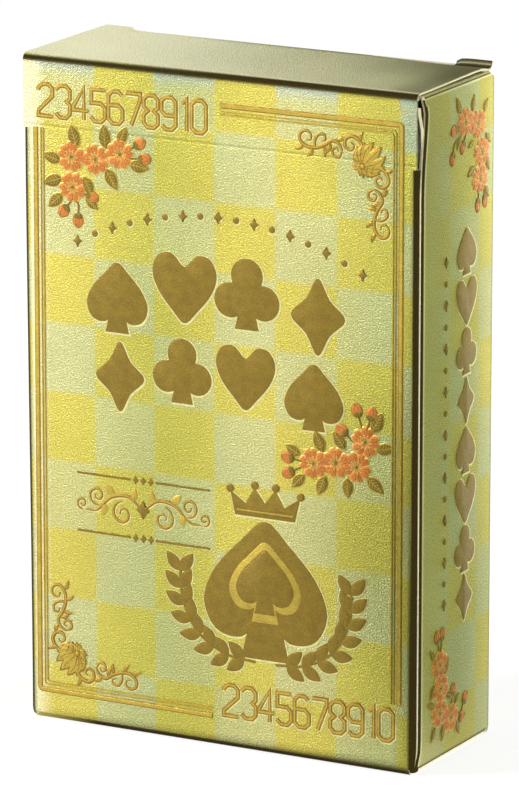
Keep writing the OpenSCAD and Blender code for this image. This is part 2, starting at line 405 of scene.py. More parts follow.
def board_sheet(name, columns, thickness, keep=None):
    """A sheet of board from columns of (point, place, values of the layers), with a cut edge all round.
    keep(i, j) says whether the cell between columns i and i + 1 and rows j and j + 1 is board."""
    outer = np.array([[p[0] for p in column] for column in columns], float)
    normal = np.cross(np.gradient(outer, axis=1), np.gradient(outer, axis=0))
    normal /= np.linalg.norm(normal, axis=2, keepdims=True)
    inner = outer - normal * thickness
    cells = [(i, j) for i in range(len(columns) - 1) for j in range(len(columns[0]) - 1)]
    cells = [cell for cell in cells if keep is None or keep(*cell)]
    known = set(cells)
    ids, points, places, values = {}, [], [], []

    def corner(at, layer):
        if (at, layer) not in ids:
            ids[at, layer] = len(points)
            i, j = at
            points.append((outer, inner)[layer][i, j])
            places.append(columns[i][j][1])
            values.append((*columns[i][j][2:], 0.0, 0.0, 0.0)[: len(LAYERS)])
        return ids[at, layer]

    faces, kinds = [], []
    for i, j in cells:
        ring = [(i, j), (i, j + 1), (i + 1, j + 1), (i + 1, j)]
        faces.append([corner(at, 0) for at in ring])
        faces.append([corner(at, 1) for at in reversed(ring)])
        kinds += [0, 1]
        for k, beside in enumerate(((i - 1, j), (i, j + 1), (i + 1, j), (i, j - 1))):
            if beside not in known:
                a, b = ring[k], ring[(k + 1) % 4]
                faces.append([corner(b, 0), corner(a, 0), corner(a, 1), corner(b, 1)])
                kinds.append(2)
    layers = dict(zip(LAYERS, zip(*values)))
    return mesh_piece(name, points, faces, kinds, board_materials(), places, layers)


def arc(cx, cy, r, start, end, steps):
    """Points on an arc, from start to end in degrees."""
    turns = np.radians(np.linspace(start, end, steps + 1))
    return [(cx + r * math.cos(a), cy + r * math.sin(a)) for a in turns]


def ease(low, high, value):
    """Rises smoothly from 0 at low to 1 at high."""
    t = min(1.0, max(0.0, (value - low) / (high - low)))
    return t * t * (3 - 2 * t)


def bow(value):
    """An arch that is 1 at 0 and falls to 0 at -1 and 1."""
    return max(0.0, 1 - value * value)


def swell(panel, across, z, s):
    """How far a panel bulges outwards, in millimetres."""
    up = bow((z - s.height / 2) / (s.height / 2))
    if panel in ("front", "back"):
        return 0.18 * bow(across / (s.x - 1)) * up
    out = 0.3 * bow(across / (s.y - 1)) * up
    if panel == "right":
        # The right side lies over the glue flap and stands off towards the seam
        rear = s.y - s.fold
        return out + SEAM_STAND * (rear - across) / (2 * rear) * ease(0.5, 4, z) * (1 - ease(91, 93.4, z))
    return out + spread(across, z)


def spread(y, z):
    """How far the left side spreads towards the front and the top."""
    return LEFT_SPREAD * ease(5, 85, z) * ease(11.5, 0, y)


def rubbed_left(px):
    """How far a highlight is painted on the front's foil towards its left edge."""
    return 0.7 * ease(-26.8, -28.7, px)


def wall_plan(s):
    """The walls seen from above, from the glue flap round to the seam: (x, y, panel, crease as painted shade,
    painted highlight).
    """
    x, y, r = s.x, s.y, s.fold
    plan = []

    def leg(start, end, stops, panel):
        start, end = np.array(start), np.array(end)
        span = np.linalg.norm(end - start)
        inner = {round(m, 4) for m in stops if EDGE_SOFT < m < span - EDGE_SOFT}
        # The glue flap shows only in the seam's gap, so it is painted fully dark as shade
        dark = 1.0 if panel == "glue" else 0.0
        for m in sorted(inner | {EDGE_SOFT, span - EDGE_SOFT}):
            plan.append((*(start + (end - start) * m / span), panel, dark, 0.0))

    def bend(cx, cy, start, panel, dark):
        plan.extend((*p, panel, d, 0.0) for p, d in zip(arc(cx, cy, r, start, start - 90, 6), dark))

    glue, wide = x - GLUE_INSET, 2 * (x - r)
    # The glue flap's back edge, painted fully dark as shade
    plan.append((glue, -y + GLUE_REACH, "glue", 1.0, 0.0))
    leg((glue, -y + GLUE_REACH), (glue, -y + r), [4, 8, 11], "glue")
    # Each fold's bend is painted dark as shade, standing in for its dark reflection
    bend(x - r, -y + r, 0, "front_right", [1, 1, 1, 1, 1, 1, 0.6])
    leg((x - r, -y), (-x + r, -y), [1.1, *np.linspace(3, wide, 20), wide - 1.2], "front")
    bend(-x + r, -y + r, -90, "front_left", [0.15, 0.85, 1, 1, 1, 1, 0.7])
    leg((-x, -y + r), (-x, y - r), [DUST_FROM + y - r, 3, 6, 9, 12, 15, 18, DUST_TO + y - r], "left")
    bend(-x + r, y - r, 180, "back_left", [0.7, 1, 1, 1, 1, 1, 0.7])
    notch = [s.notch * math.sin(math.radians(a)) + x - r for a in range(-90, 91, 6)]
    leg((-x + r, y), (x - r, y), [*notch, *range(3, 20, 3), *range(40, 58, 3)], "back")
    bend(x - r, y - r, 90, "back_right", [0.7, 1, 1, 1, 0.95, 0.8, 0.2])
    leg((x, y - r), (x, DUST_FROM), [y - r - DUST_TO, 4, 7, 10, 13, 16, 19], "right")
    plan.append((x, DUST_FROM, "right", 0.0, 0.0))
    # Next to the cut edge the die has rolled the foil over; a dark line and a highlight are painted along it
    for behind, roll, dark, wear in (
        (1.0, 0, 0, 0.1), (0.85, 0, 0, 0.9), (0.66, 0, 0, 1), (0.56, 0, 0.4, 0.5), (0.48, 0, 0.95, 0),
        (0.25, 0.03, 1, 0), (0.12, 0.1, 1, 0), (0.03, 0.18, 1, 0), (0, 0.2, 0.4, 0.3),
    ):
        plan.append((x - roll, -y + SEAM_INSET + behind, "right", dark, wear))
    return plan


def flat_place(panel, px, py, s):
    x, y = s.x, s.y
    if panel in ("front", "front_left", "front_right", "glue"):
        return px if panel == "front" else px + math.copysign(py + y, px)
    if panel == "left":
        return -x - (py + y)
    if panel in ("back", "back_left"):
        return -x - 2 * y - (px + x)
    return py + RIGHT_MIDDLE


def wall_sheet(s):
    """The four walls and the glue flap."""
    top, under = s.crease - CREASE_REACH, s.height - s.board
    side_top = CARTON_HIGH.z * 1000 - SIDE_CUT
    low = s.board + s.fold
    # Heights of the rows, closer together at the folds
    rows = [0, 0.4, s.fold, low, 2, 3.2, 5, *range(8, 81, 4), 82.2, top]
    rows += [85, 87, 89, 91, DUST_FOOT, 92.45, side_top, under]
    plan = wall_plan(s)
    columns = []
    for px, py, panel, dark, wear in plan:
        column = []
        for z in rows:
            qx, qy, qz, d, worn = px, py, z, dark, wear
            if panel == "front":
                qy -= swell("front", px, z, s)
                # Painted shade towards the bottom fold, least at its left end, and beside the lower right fold
                foot = 0.12 + 0.4 * ease(-29, -20, px) + 0.35 * ease(-20, 25, px)
                d = max(dark, foot * (1 - ease(s.fold, 1.6, z)))
                if px > 27:
                    beside = 0.1 * ease(84, 76, z) + 0.25 * ease(75, 35, z)
                    d = max(d, beside * ease(27.4, s.x - s.fold - EDGE_SOFT, px))
                # Painted highlight towards the left edge
                worn = rubbed_left(px)
            elif panel == "front_right" and py < -s.y + 1e-6:
                # The right fold's painted shade grows darker towards its foot
                d = 0.3 + 0.7 * ease(50, 15, z)
            elif panel == "back":
                qy += swell("back", px, z, s)
                if abs(px) < s.notch - 1e-6 and z > NOTCH_FROM:
                    rim = under - math.sqrt(s.notch**2 - px * px)
                    qz = NOTCH_FROM + (z - NOTCH_FROM) * (rim - NOTCH_FROM) / (under - NOTCH_FROM)
            elif panel == "left":
                qx -= swell("left", py, z, s)
            elif panel == "right":
                qx += swell("right", py, z, s)
                qy += SEAM_LEAN * ease(80, 92.5, z) * ease(-7.0, -10.3, py)
            elif panel == "glue":
                fall = GLUE_TAPER * max(0, py + s.y - s.fold) / (GLUE_REACH - s.fold)
                qz = low + fall + (z - low) * (DUST_FOOT - 2 * fall - low) / (DUST_FOOT - low)
                # It stands out a little in the seam's gap below the lid, and draws in at its top
                qx += (0.3 * bow((z - 87.5) / 3.5) - 0.25 * ease(89.5, 92, z)) * ease(-6, -10, py)
            if px < -27 and panel != "left":
                qx -= spread(py, z) * ease(-27, -29.2, px)
            if panel in ("right", "back_right") and z > 91 and py > DUST_TO:
                # The side's upper corner at the back is round
                f = min(1.0, (py - DUST_TO) / BACK_CORNER)
                qz -= (1 - math.sqrt(1 - f * f)) * ease(91, side_top, z)
            if "_" in panel and z < low:
                # A folded corner draws in at its foot
                pull = FOOT_PULL * (1 - z / low) ** 2
                qx -= math.copysign(pull, px)
                qy -= math.copysign(pull, py)
            column.append(((qx, qy, qz), (flat_place(panel, px, py, s), qz), d, 0.0, worn))
        columns.append(column)

    floor = {"front": s.fold, "back": 0.0, **{k: rows[1] for k in CORNER_FOLDS}}
    roof = {"front": top, "front_left": top, "front_right": top, "back": under}

    def keep(i, j):
        panel, beside = plan[i][2], plan[i + 1][2]
        owner = panel if len(panel) > len(beside) else beside
        if owner in ("left", "right", "glue"):
            y0, y1 = sorted((plan[i][1], plan[i + 1][1]))
            under_flap = y0 >= DUST_FROM - 0.2 and y1 <= DUST_TO + 1e-6
            limit = DUST_FOOT if under_flap or owner == "glue" else side_top
        else:
            limit = roof.get(owner, side_top)
        return rows[j] >= floor.get(owner, low) - 1e-6 and rows[j + 1] <= limit + 1e-6

    return board_sheet("carton_walls", columns, s.board, keep)


def bottom_sheet(s):
    """The bottom panel: down from the front, under the deck and up inside the back panel."""
    y, r, t = s.y, s.fold, s.board
    half, front_half = s.x - BOTTOM_INSET, s.x - r
    # The front and back folds are painted dark as shade
    path = [(-y, r, 0.8)]
    path += [(*p, d) for p, d in zip(arc(-y + r, r, r, 180, 270, 6)[1:], [1, 1, 1, 1, 1, 0.8])]
    path += [(py, 0.0, 0.0) for py in np.linspace(-y + r + EDGE_SOFT, y - t - r, 9)]
    path += [(*p, 0.8) for p in arc(y - t - r, r, r, 270, 360, 6)[1:]]
    path += [(y - t, pz, 0.0) for pz in (1.6, 4, 8, 12)]
    columns = []
    for f in np.linspace(-1, 1, 13):
        column, run = [], 0.0
        for k, (py, pz, d) in enumerate(path):
            run += math.dist(path[k - 1][:2], (py, pz)) if k else 0
            wide = half if py < y - t - r + 1e-6 else half - BOTTOM_TUCK_INSET * min(1, pz / 1.6)
            if py < -y + r - 1e-6:
                # The front fold keeps to the front panel's own width
                wide = front_half + (half - front_half) * ease(0, 1, (py + y) / r)
            px = f * wide
            lift = -swell("front", px, pz, s) if py < -y + 1e-6 else 0
            if k <= 6:
                # The front fold's painted shade is weak at its left end
                d *= 0.3 + 0.7 * ease(-29, -20, px)
            column.append(((px, py + lift, pz), (px, r - run), d, 1.0 if k > 6 else 0.0))
        columns.append(column)
    return board_sheet("carton_bottom", columns, t)


def bottom_dust_flap(s, side, name):
    """A bottom dust flap, folded in from a side above the bottom panel."""
    r, t = s.fold, s.board
    low = t + r
    # The bend is painted dark as shade
    path = [(s.x, low, 0.1)]
    path += [(*p, d) for p, d in zip(arc(s.x - r, low, r, 0, -90, 6)[1:], [0.5, 0.8, 1, 1, 1, 0.8])]
    path += [(px, t, 0.0) for px in np.linspace(s.x - r - EDGE_SOFT, s.x - BOTTOM_DUST, 4)]
    columns = [
        [((side * px, py, pz), (py + RIGHT_MIDDLE, pz - (s.x - px)), d, 0.0) for px, pz, d in path]
        for py in np.linspace(-s.y + 1.0, s.y - 2 * t - 0.2, 7)[::side]
    ]
    return board_sheet(name, columns, t)


class DECK_OT_carton(bpy.types.Operator):
    """Fold the carton's walls and bottom from foil-faced board"""

    bl_idname = "deck.carton"
    bl_label = "Carton"

    def execute(self, context):
        s = sizes()
        parts = [wall_sheet(s), bottom_sheet(s)]
        for side, name in ((1, "right"), (-1, "left")):
            parts.append(bottom_dust_flap(s, side, "carton_bottom_dust_" + name))
        for part in parts:
            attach(part, "carton")
            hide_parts("carton")
        return {"FINISHED"}


LID_END = 10.2  # the lid's sheet passes over into the tuck flap here
LID_LEFT = -30.35  # the lid stands out a little over the left side
SHOULDER_LEFT = (-26.0, -25.75)  # lock slit on the left: shoulder's end and flap's neck
SHOULDER_RIGHT = (24.45, 24.2)  # the same on the right
LIP_START = LID_END - 0.6  # the sprung lip on the right turns up from here
LIP_RADIUS, LIP_TURN = 1.15, math.radians(80)
# Painted shade of the front fold at the lid's left and right end, and the highlight painted along it
FOLD_LEFT = [0.4, 0.9, 1, 1, 1, 0.85, 0.4, 0.1, 0.05, 0, 0]
FOLD_RIGHT = [0.4, 0.9, 1, 1, 1, 1, 0.98, 0.5, 0.12, 0.05, 0]
FOLD_SHINE = [0, 0, 0, 0, 0, 0, 0, 0.2, 0.8, 0.6, 0.1]


def lid_lift(px, py):
    """How far the top panel stands off its flat place.
    It bows up along the right edge and dips at the back corner."""
    right = ease(6, 28, px)
    crown = 0.1 * bow(px / 29.5) * bow(py / 10.5)
    edge = right * (0.16 * ease(-9, 6.5, py) - 0.5 * ease(7.0, 10.6, py))
    return crown + edge - 0.22 * ease(7.5, 10.2, py) * (1 - ease(23, 27, abs(px)))


def lid_path(s, r):
    """The lid from its crease over to the back, and the row at which its front fold starts.
    Each row holds (y, z, crease as painted shade, plain, painted highlight, whether only the shoulders have it)."""
    y, h = s.y, s.height
    path = []
    # A faint line of painted shade along the crease
    for z in np.linspace(s.crease - CREASE_REACH, s.crease + CREASE_REACH, 11):
        path.append((-y, z, 0.22 * max(0.0, 1 - abs(z - s.crease) / 0.22), 0.0, 0.0, False))
    path += [(-y, z, 0.0, 0.0, 0.0, False) for z in (85.6, 87, 88.5, 90, 91.2, 92.2, h - r - EDGE_SOFT)]
    fold_row = len(path)
    for k, ((py, pz), d, w) in enumerate(zip(arc(-y + r, h - r, r, 180, 90, 10), FOLD_RIGHT, FOLD_SHINE)):
        path.append((py, pz, d, ease(4, 9, k), w, False))
    for py in (-y + r + EDGE_SOFT, *np.arange(-9, 6.1, 1.5), 7.5, 8.3, 9.0, 9.6, LID_END):
        path.append((py, h, 0.0, 1.0, 0.0, False))
    path += [(LID_END + k * (y - LID_END) / 6, h, 0.0, 1.0, 0.0, True) for k in range(1, 7)]
    return path, fold_row


def lid_sheet(s):
    """The top panel with the front strip and the lock shoulders."""
    y, h, r = s.y, s.height, LID_FOLD * s.fold
    half = s.x - LID_INSET
    path, fold_row = lid_path(s, r)
    xs = [half, half - 0.09, half - 0.3, half - 1, 28, 27, 26, 25.2, *SHOULDER_RIGHT]
    xs += [*np.linspace(22, -24, 17), *SHOULDER_LEFT[::-1], -27, -28, -half + 0.5, LID_LEFT]
    columns = []
    for px in xs:
        column = []
        for k, (py, pz, d, plain, wear, shoulder) in enumerate(path):
            qy, qz, cool = py, pz, 0.0
            if 0 <= k - fold_row < len(FOLD_LEFT):
                left = FOLD_LEFT[k - fold_row]
                d = left + (d - left) * ease(-30, 6, px)
            if py == -y:
                groove = 0.05 * max(0.0, 1 - abs(pz - s.crease) / 0.3)
                qy += groove - swell("front", px, pz, s)
                # Painted cool reflection below the top fold and at the strip's right end, and a painted highlight
                # towards the left edge
                cool = max(0.8 * ease(91.4, 92.9, pz), 0.55 * ease(26.8, 29, px))
                wear = rubbed_left(px)
            else:
                qz += lid_lift(px, min(py, 10.6)) * ease(-y + r, -y + r + 2.5, py)
                # Painted shade where the sheet starts to bend down at the back, and towards its right end
                if py > 7 and not shoulder:
                    d = 0.5 * ease(7.4, LID_END, py) * ease(-24, 6, px)
                if plain == 1 and not shoulder:
                    rear = 0.62 * ease(8, 28, px) * ease(-7, 8, py)
                    d = max(d, rear + 0.5 * ease(23, 29, px) * ease(10, -4, py))
                if px > SHOULDER_RIGHT[0] - 0.01 and py > LID_END - 0.65:
                    # The right shoulder has sprung up into a lip, painted dark as its reflection, with a lighter
                    # band along its middle
                    turn = LIP_TURN * (py - LIP_START) / (y - LIP_START)
                    up = (py - LID_END) / (y - LID_END)
                    qy = LIP_START + LIP_RADIUS * math.sin(turn)
                    qz += LIP_RADIUS * (1 - math.cos(turn))
                    qz -= 0.35 * ease(SHOULDER_RIGHT[0] + 0.9, SHOULDER_RIGHT[0], px) * max(0.0, up)
                    d, wear = 0.97 - 0.3 * max(0.0, 1 - abs(up - 0.5) / 0.2), 0.0
            if px == half:
                # The die has rolled the foil over the cut edge; a highlight is painted along it, and the painted
                # fold shade is weakened there
                if py == -y:
                    qy += 0.16
                else:
                    qz -= 0.1
                d, wear = 0.3 * d, 0.9
            column.append(((px, qy, qz), (px, pz if py == -y else h + py + y), d, plain, wear, cool))
        columns.append(column)

    def keep(i, j):
        on_shoulder = xs[i + 1] >= SHOULDER_RIGHT[0] - 1e-6 or xs[i] <= SHOULDER_LEFT[0] + 1e-6
        return on_shoulder or not path[j + 1][5]

    return board_sheet("lid_sheet", columns, s.board, keep)


class DECK_OT_lid(bpy.types.Operator):
    """Fold the lid with its front strip and lock shoulders"""

    bl_idname = "deck.lid"
    bl_label = "Lid"

    def execute(self, context):
        s = sizes()
        lid = lid_sheet(s)
        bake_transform(lid)
        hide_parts("lid")
        return {"FINISHED"}


class DECK_OT_tuck_flap(bpy.types.Operator):
    """Fold the tuck flap down behind the back panel"""

    bl_idname = "deck.tuck_flap"
    bl_label = "Tuck flap"

    def execute(self, context):
        s = sizes()
        h, r, corner = s.height, 0.65, 4.0
        face, foot, wide = TUCK_HIGH.y * 1000, TUCK_LOW.z * 1000, TUCK_HIGH.x * 1000
        left, right = SHOULDER_LEFT[1], SHOULDER_RIGHT[1]
        # (y, z, crease as painted shade, share of the flap's width), where the neck between the shoulders has no
        # share
        # The bend over the back is painted dark as shade
        path = [(LID_END, h, 0.5, None)]
        dark = [0.2, 0.3, 0.85, 0.9, 0.9, 0.8, 0.6, 0.3]
        path += [(*p, d, None) for p, d in zip(arc(LID_END, h - r, face - LID_END, 90, 0, 8)[1:], dark)]
        path += [(face, z, FLAP_DULL, 1.0) for z in (h - 0.95, h - 1.2, 91)]
        for a in np.radians(np.linspace(0, 90, 9)):
            share = (wide - corner + corner * math.cos(a)) / wide
            path.append((face, foot + corner - corner * math.sin(a), FLAP_DULL, share))
        columns = []
        for f in np.linspace(1, 0, 21):
            neck = left + (right - left) * f
            column, run = [], 0.0
            for k, (py, pz, d, share) in enumerate(path):
                run += math.dist(path[k - 1][:2], (py, pz)) if k else 0
                px = neck if share is None else (2 * f - 1) * wide * share
                qz = pz + lid_lift(neck, LID_END) * max(0.0, 1 - run / 3)
                # Painted highlight near the start of the bend
                wear = 0.7 if k in (1, 2) else 0.0
                column.append(((px, py, qz), (px, h + LID_END + s.y + run), d, 1.0, wear))
            columns.append(column)
        flap = board_sheet("tuck_flap_sheet", columns, s.board)
        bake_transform(flap)
        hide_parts("tuck_flap")
        return {"FINISHED"}


class DECK_OT_dust_flaps(bpy.types.Operator):
    """Fold the two dust flaps in from the side panels"""

    bl_idname = "deck.dust_flaps"
    bl_label = "Dust flaps"

    def execute(self, context):
        s = sizes()
        top, tip, r = DUST_HIGH.z * 1000, DUST_LOW.x * 1000, 0.5
        hinge = s.x - s.board / 2
        # The lock edge's reach and the step behind it, then how far the front and the back edge taper
        lock, relief, taper, back_taper = 1.5, 2.6, 5.0, 1.6
        # The bend is painted dark as shade, darkest in a line along it
        dark = [0, 0.05, 0.85, 0.85, 0.1, 0.1, 0.2, 0.3, 0.3, 0.3]
        path = [(s.x, z, 0.0) for z in (DUST_FOOT, 92.4, 92.7)]
        path += [(*p, d) for p, d in zip(arc(s.x - r, top - r, r, 0, 90, 9), dark)]
        flat = (29.0, 28.6, hinge - lock, hinge - lock - 0.15, 26, 23, 20, 17, tip)
        path += [(px, top, FLAP_DULL) for px in flat]
        for side, name in ((1, "right"), (-1, "left")):
            columns = []
            for f in np.linspace(0, 1, 17)[::side]:
                column, run = [], 0.0
                for k, (px, pz, d) in enumerate(path):
                    run += math.dist(path[k - 1][:2], (px, pz)) if k else 0
                    inward = max(0.0, hinge - px)
                    front, back = DUST_FROM + taper * inward / (hinge - tip), DUST_TO
                    if inward > lock + 1e-6:
                        back -= relief + back_taper * (inward - lock) / (hinge - tip - lock)
                    py = back + (front - back) * f
                    out = swell(name, py, DUST_FOOT, s) * (1 - ease(DUST_FOOT, top, pz))
                    # A highlight is painted along the bend
                    wear = 0.8 * max(0.0, 1 - abs(run - 0.9) / 0.15)
                    place = (py + RIGHT_MIDDLE, DUST_FOOT + run)
                    column.append(((side * (px + out), py, pz), place, d, ease(0.8, 1.8, run), wear))
                columns.append(column)
            flap = board_sheet("dust_flap_%s_sheet" % name, columns, s.board)
            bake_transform(flap)
            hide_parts("dust_flap_" + name)
        return {"FINISHED"}


# Embossed print


class Emboss:
    """Raised print on one face of the carton. Every mark is a low closed solid, kept by ink."""

    SINK = 0.03  # how far a mark's foot lies in the board, in millimetres
    BODY, SLOT = "carton", "foil_board"
    wider = (0.0, 0.0, 1.0, 1.0)  # a spot, and how much wider and higher than drawn the marks round it are

    def __init__(self, panel):
        self.panel, self.s, self.marks = panel, sizes(), {}

    def on_face(self, u, v, h):
        """Point of the carton at u to the right, v up and h out from the face, seen from outside."""
        s = self.s
        if self.panel in ("front", "back"):
            out = swell(self.panel, u, v, s) + h
            return (u, -s.y - out, v) if self.panel == "front" else (-u, s.y + out, v)
        out = s.x + swell(self.panel, u if self.panel == "right" else -u, v, s) + h
        return (out, u, v) if self.panel == "right" else (-out, -u, v)

    def add(self, ink, points, faces):
        verts, rings = self.marks.setdefault(ink, ([], []))
        first = len(verts)
        cu, cv, fu, fv = self.wider
        verts.extend((cu + (u - cu) * fu, cv + (v - cv) * fv, h) for u, v, h in points)
        rings.extend([first + k for k in face] for face in faces)

    def stack(self, ink, loops, apex=None):
        """A closed solid from loops of equal count, stacked from its foot up."""
        n = len(loops[0])
        points = [p for loop in loops for p in loop]
        faces = [list(range(n))[::-1]]
        for k in range(len(loops) - 1):
            for i in range(n):
                j = (i + 1) % n
                faces.append([k * n + i, k * n + j, (k + 1) * n + j, (k + 1) * n + i])
        last = (len(loops) - 1) * n
        if apex is None:
            faces.append([last + i for i in range(n)])
        else:
            points.append(apex)
            faces += [[last + i, last + (i + 1) % n, len(points) - 1] for i in range(n)]
        self.add(ink, points, faces)

    def plate(self, ink, outline, rise=1.0, edge=0.16, grow=0.0):
        """A flat-topped mark with a bevelled edge."""
        h = rise * self.s.relief
        outer = inset(outline, -grow) if grow else outline
        inner = inset(outer, edge)
        levels = ((outer, -self.SINK), (outer, 0.45 * h), (inner, h))
        self.stack(ink, [[(u, v, z) for u, v in loop] for loop, z in levels])

    def pillow(self, ink, outline, rise=1.0, centre=None):
        """A domed mark."""
        h = rise * self.s.relief
        cu, cv = centre or np.mean(outline, axis=0)

        def ring(f, z):
            return [(cu + (u - cu) * f, cv + (v - cv) * f, z) for u, v in outline]

        loops = [ring(1, -self.SINK), ring(1, 0.4 * h), ring(0.82, 0.85 * h), ring(0.45, h)]
        self.stack(ink, loops, (cu, cv, 1.05 * h))

    def line(self, ink, path, width, rise=1.0, closed=False):
        """A raised line along a path. width is one number, or one for each point."""
        h = rise * self.s.relief
        path = [np.array(p, float) for p in path]
        n = len(path)
        half = [w / 2 for w in (width if hasattr(width, "__len__") else [width] * n)]
        foot, edge = -self.SINK, 0.45 * h
        section = ((-1, foot), (-1, edge), (-0.7, h), (0.7, h), (1, edge), (1, foot))
        rings = []
        for i, p in enumerate(path):
            before = path[i - 1] if i or closed else None
            after = path[(i + 1) % n] if i < n - 1 or closed else None
            ways = [unit(p - before)] if before is not None else []
            ways += [unit(after - p)] if after is not None else []
            sides = [np.array((-w[1], w[0])) for w in ways]
            mitre = unit(sum(sides)) if np.linalg.norm(sum(sides)) > 1e-6 else sides[0]
            reach = half[i] / max(0.45, float(mitre @ sides[0]))
            rings.append([(*(p + mitre * reach * f), z) for f, z in section])
        k = len(section)
        points = [q for ring in rings for q in ring]
        faces = []
        for i in range(n if closed else n - 1):
            a, b = i * k, ((i + 1) % n) * k
            faces += [[a + m, a + (m + 1) % k, b + (m + 1) % k, b + m] for m in range(k)]
        if not closed:
            faces += [list(range(k))[::-1], [(n - 1) * k + m for m in range(k)]]
        self.add(ink, points, faces)

    def pieces(self, title):
        """Makes one object for each ink, on its body or, on the front, across the lid's crease."""
        s, made = self.s, inks()
        for ink, (marks, faces) in self.marks.items():
            points = [self.on_face(*p) for p in marks]
            places = [p[:2] for p in marks]
            piece = mesh_piece("%s_%s" % (title, ink), points, faces, [0] * len(faces), [made[ink]], places)
            shell = bmesh.new()
            shell.from_mesh(piece.data)
            bmesh.ops.recalc_face_normals(shell, faces=shell.faces)
            shell.to_mesh(piece.data)
            shell.free()
            if self.panel == "front":
                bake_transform(piece)
            else:
                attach(piece, self.BODY)


class CardPrint(Emboss):
    """Ink on the faces of the cards. It is thinner than the gap from one card to the next."""

    SINK = 0.003
    BODY, SLOT = "deck", "card_stock"
    level = 0.0

    def turn_to(self, card):
        """Prints on this card from here on, and gives its middle."""
        low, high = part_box(card)
        self.level = -low.y * 1000
        return (low.x + high.x) * 500, (low.z + high.z) * 500

    def on_face(self, u, v, h):
        return u, -h, v

    def add(self, ink, points, faces):
        super().add(ink, [(u, v, h + self.level) for u, v, h in points], faces)

    def mark(self, ink, outline):
        self.stack(ink, [[(u, v, h) for u, v in outline] for h in (-self.SINK, self.SINK)])


def unit(v):
    """The vector at length 1."""
    return v / (np.linalg.norm(v) or 1.0)


def inset(outline, by):
    """The outline moved inwards, or outwards where by is below 0."""
    p = np.array(outline, float)
    ahead, behind = np.roll(p, -1, 0) - p, p - np.roll(p, 1, 0)
    turn = 1.0 if np.sum(p[:, 0] * np.roll(p[:, 1], -1) - np.roll(p[:, 0], -1) * p[:, 1]) > 0 else -1.0
    moved = []
    for at, a, b in zip(p, ahead, behind):
        a, b = unit(a), unit(b)
        na, nb = np.array((-a[1], a[0])) * turn, np.array((-b[1], b[0])) * turn
        m = unit(na + nb)
        moved.append(tuple(at + m * by / max(0.5, float(m @ na))))
    return moved


def placed(outline, u, v, size=1.0, turn=0.0):
    """The outline scaled, turned by degrees and moved."""
    c, k = math.cos(math.radians(turn)) * size, math.sin(math.radians(turn)) * size
    return [(u + a * c - b * k, v + a * k + b * c) for a, b in outline]


def smooth(points, steps=6, closed=False):
    """A smooth curve through the points."""
    p = [np.array(q, float) for q in points]
    n = len(p)
    out = []
    for i in range(n if closed else n - 1):
        a = p[i - 1] if i or closed else 2 * p[0] - p[1]
        b, c = p[i], p[(i + 1) % n]
        d = p[(i + 2) % n] if closed or i + 2 < n else 2 * p[-1] - p[-2]
        for k in range(steps):
            t = k / steps
            square, cube = 2 * a - 5 * b + 4 * c - d, 3 * b - a - 3 * c + d
            out.append(tuple(0.5 * (2 * b + (c - a) * t + square * t * t + cube * t**3)))
    if not closed:
        out.append(tuple(p[-1]))
    return out


def star(shapes, centre, rays=96):
    """Outline of overlapping shapes as far as it can be seen from the centre."""
    c = np.array(centre, float)
    out = []
    for k in range(rays):
        a = 2 * math.pi * (k + 0.5) / rays
        d = np.array((math.cos(a), math.sin(a)))
        best = 0.0
        for shape in shapes:
            for p, q in zip(shape, [*shape[1:], shape[0]]):
                p, e = np.array(p, float) - c, np.array(q, float) - np.array(p, float)
                cross = d[0] * e[1] - d[1] * e[0]
                if abs(cross) < 1e-12:
                    continue
                far = (p[0] * e[1] - p[1] * e[0]) / cross
                along = (p[0] * d[1] - p[1] * d[0]) / cross
                if far > best and -1e-9 <= along <= 1 + 1e-9:
                    best = far
        out.append(tuple(c + d * best))
    return out


def ring(u, v, r, n=24):
    """Points on a circle."""
    return [(u + r * math.cos(2 * math.pi * k / n), v + r * math.sin(2 * math.pi * k / n)) for k in range(n)]


def mirrored(half, a=1, b=1):
    """A whole outline from one half, whose ends lie on the mirror line. a or b is -1."""
    return [*half, *((a * p, b * q) for p, q in half[-2:0:-1])]


HEART = [(0, 0.3), (0.2, 0.48), (0.42, 0.44), (0.52, 0.2), (0.42, -0.08), (0.2, -0.34), (0, -0.52)]
HEART = smooth(mirrored(HEART, a=-1), 4, True)
DIAMOND = smooth(mirrored([(0, 0.52), (0.17, 0.24), (0.4, 0), (0.17, -0.24), (0, -0.52)], a=-1), 4, True)
STALK = [(-0.03, 0.1), (0.03, 0.1), (0.06, -0.25), (0.22, -0.5), (-0.22, -0.5), (-0.06, -0.25)]
CLOVER = [ring(0, 0.26, 0.25), ring(-0.26, -0.1, 0.25), ring(0.26, -0.1, 0.25), ring(0, 0.02, 0.16)]
# Suit pips of size 1 round their middle
PIPS = {
    "heart": star([HEART], (0, 0)),
    "spade": star([[(a * 0.94, 0.06 - b * 0.86) for a, b in HEART], STALK], (0, 0)),
    "diamond": star([DIAMOND], (0, 0)),
    "club": star([*CLOVER, STALK], (0, 0)),
}
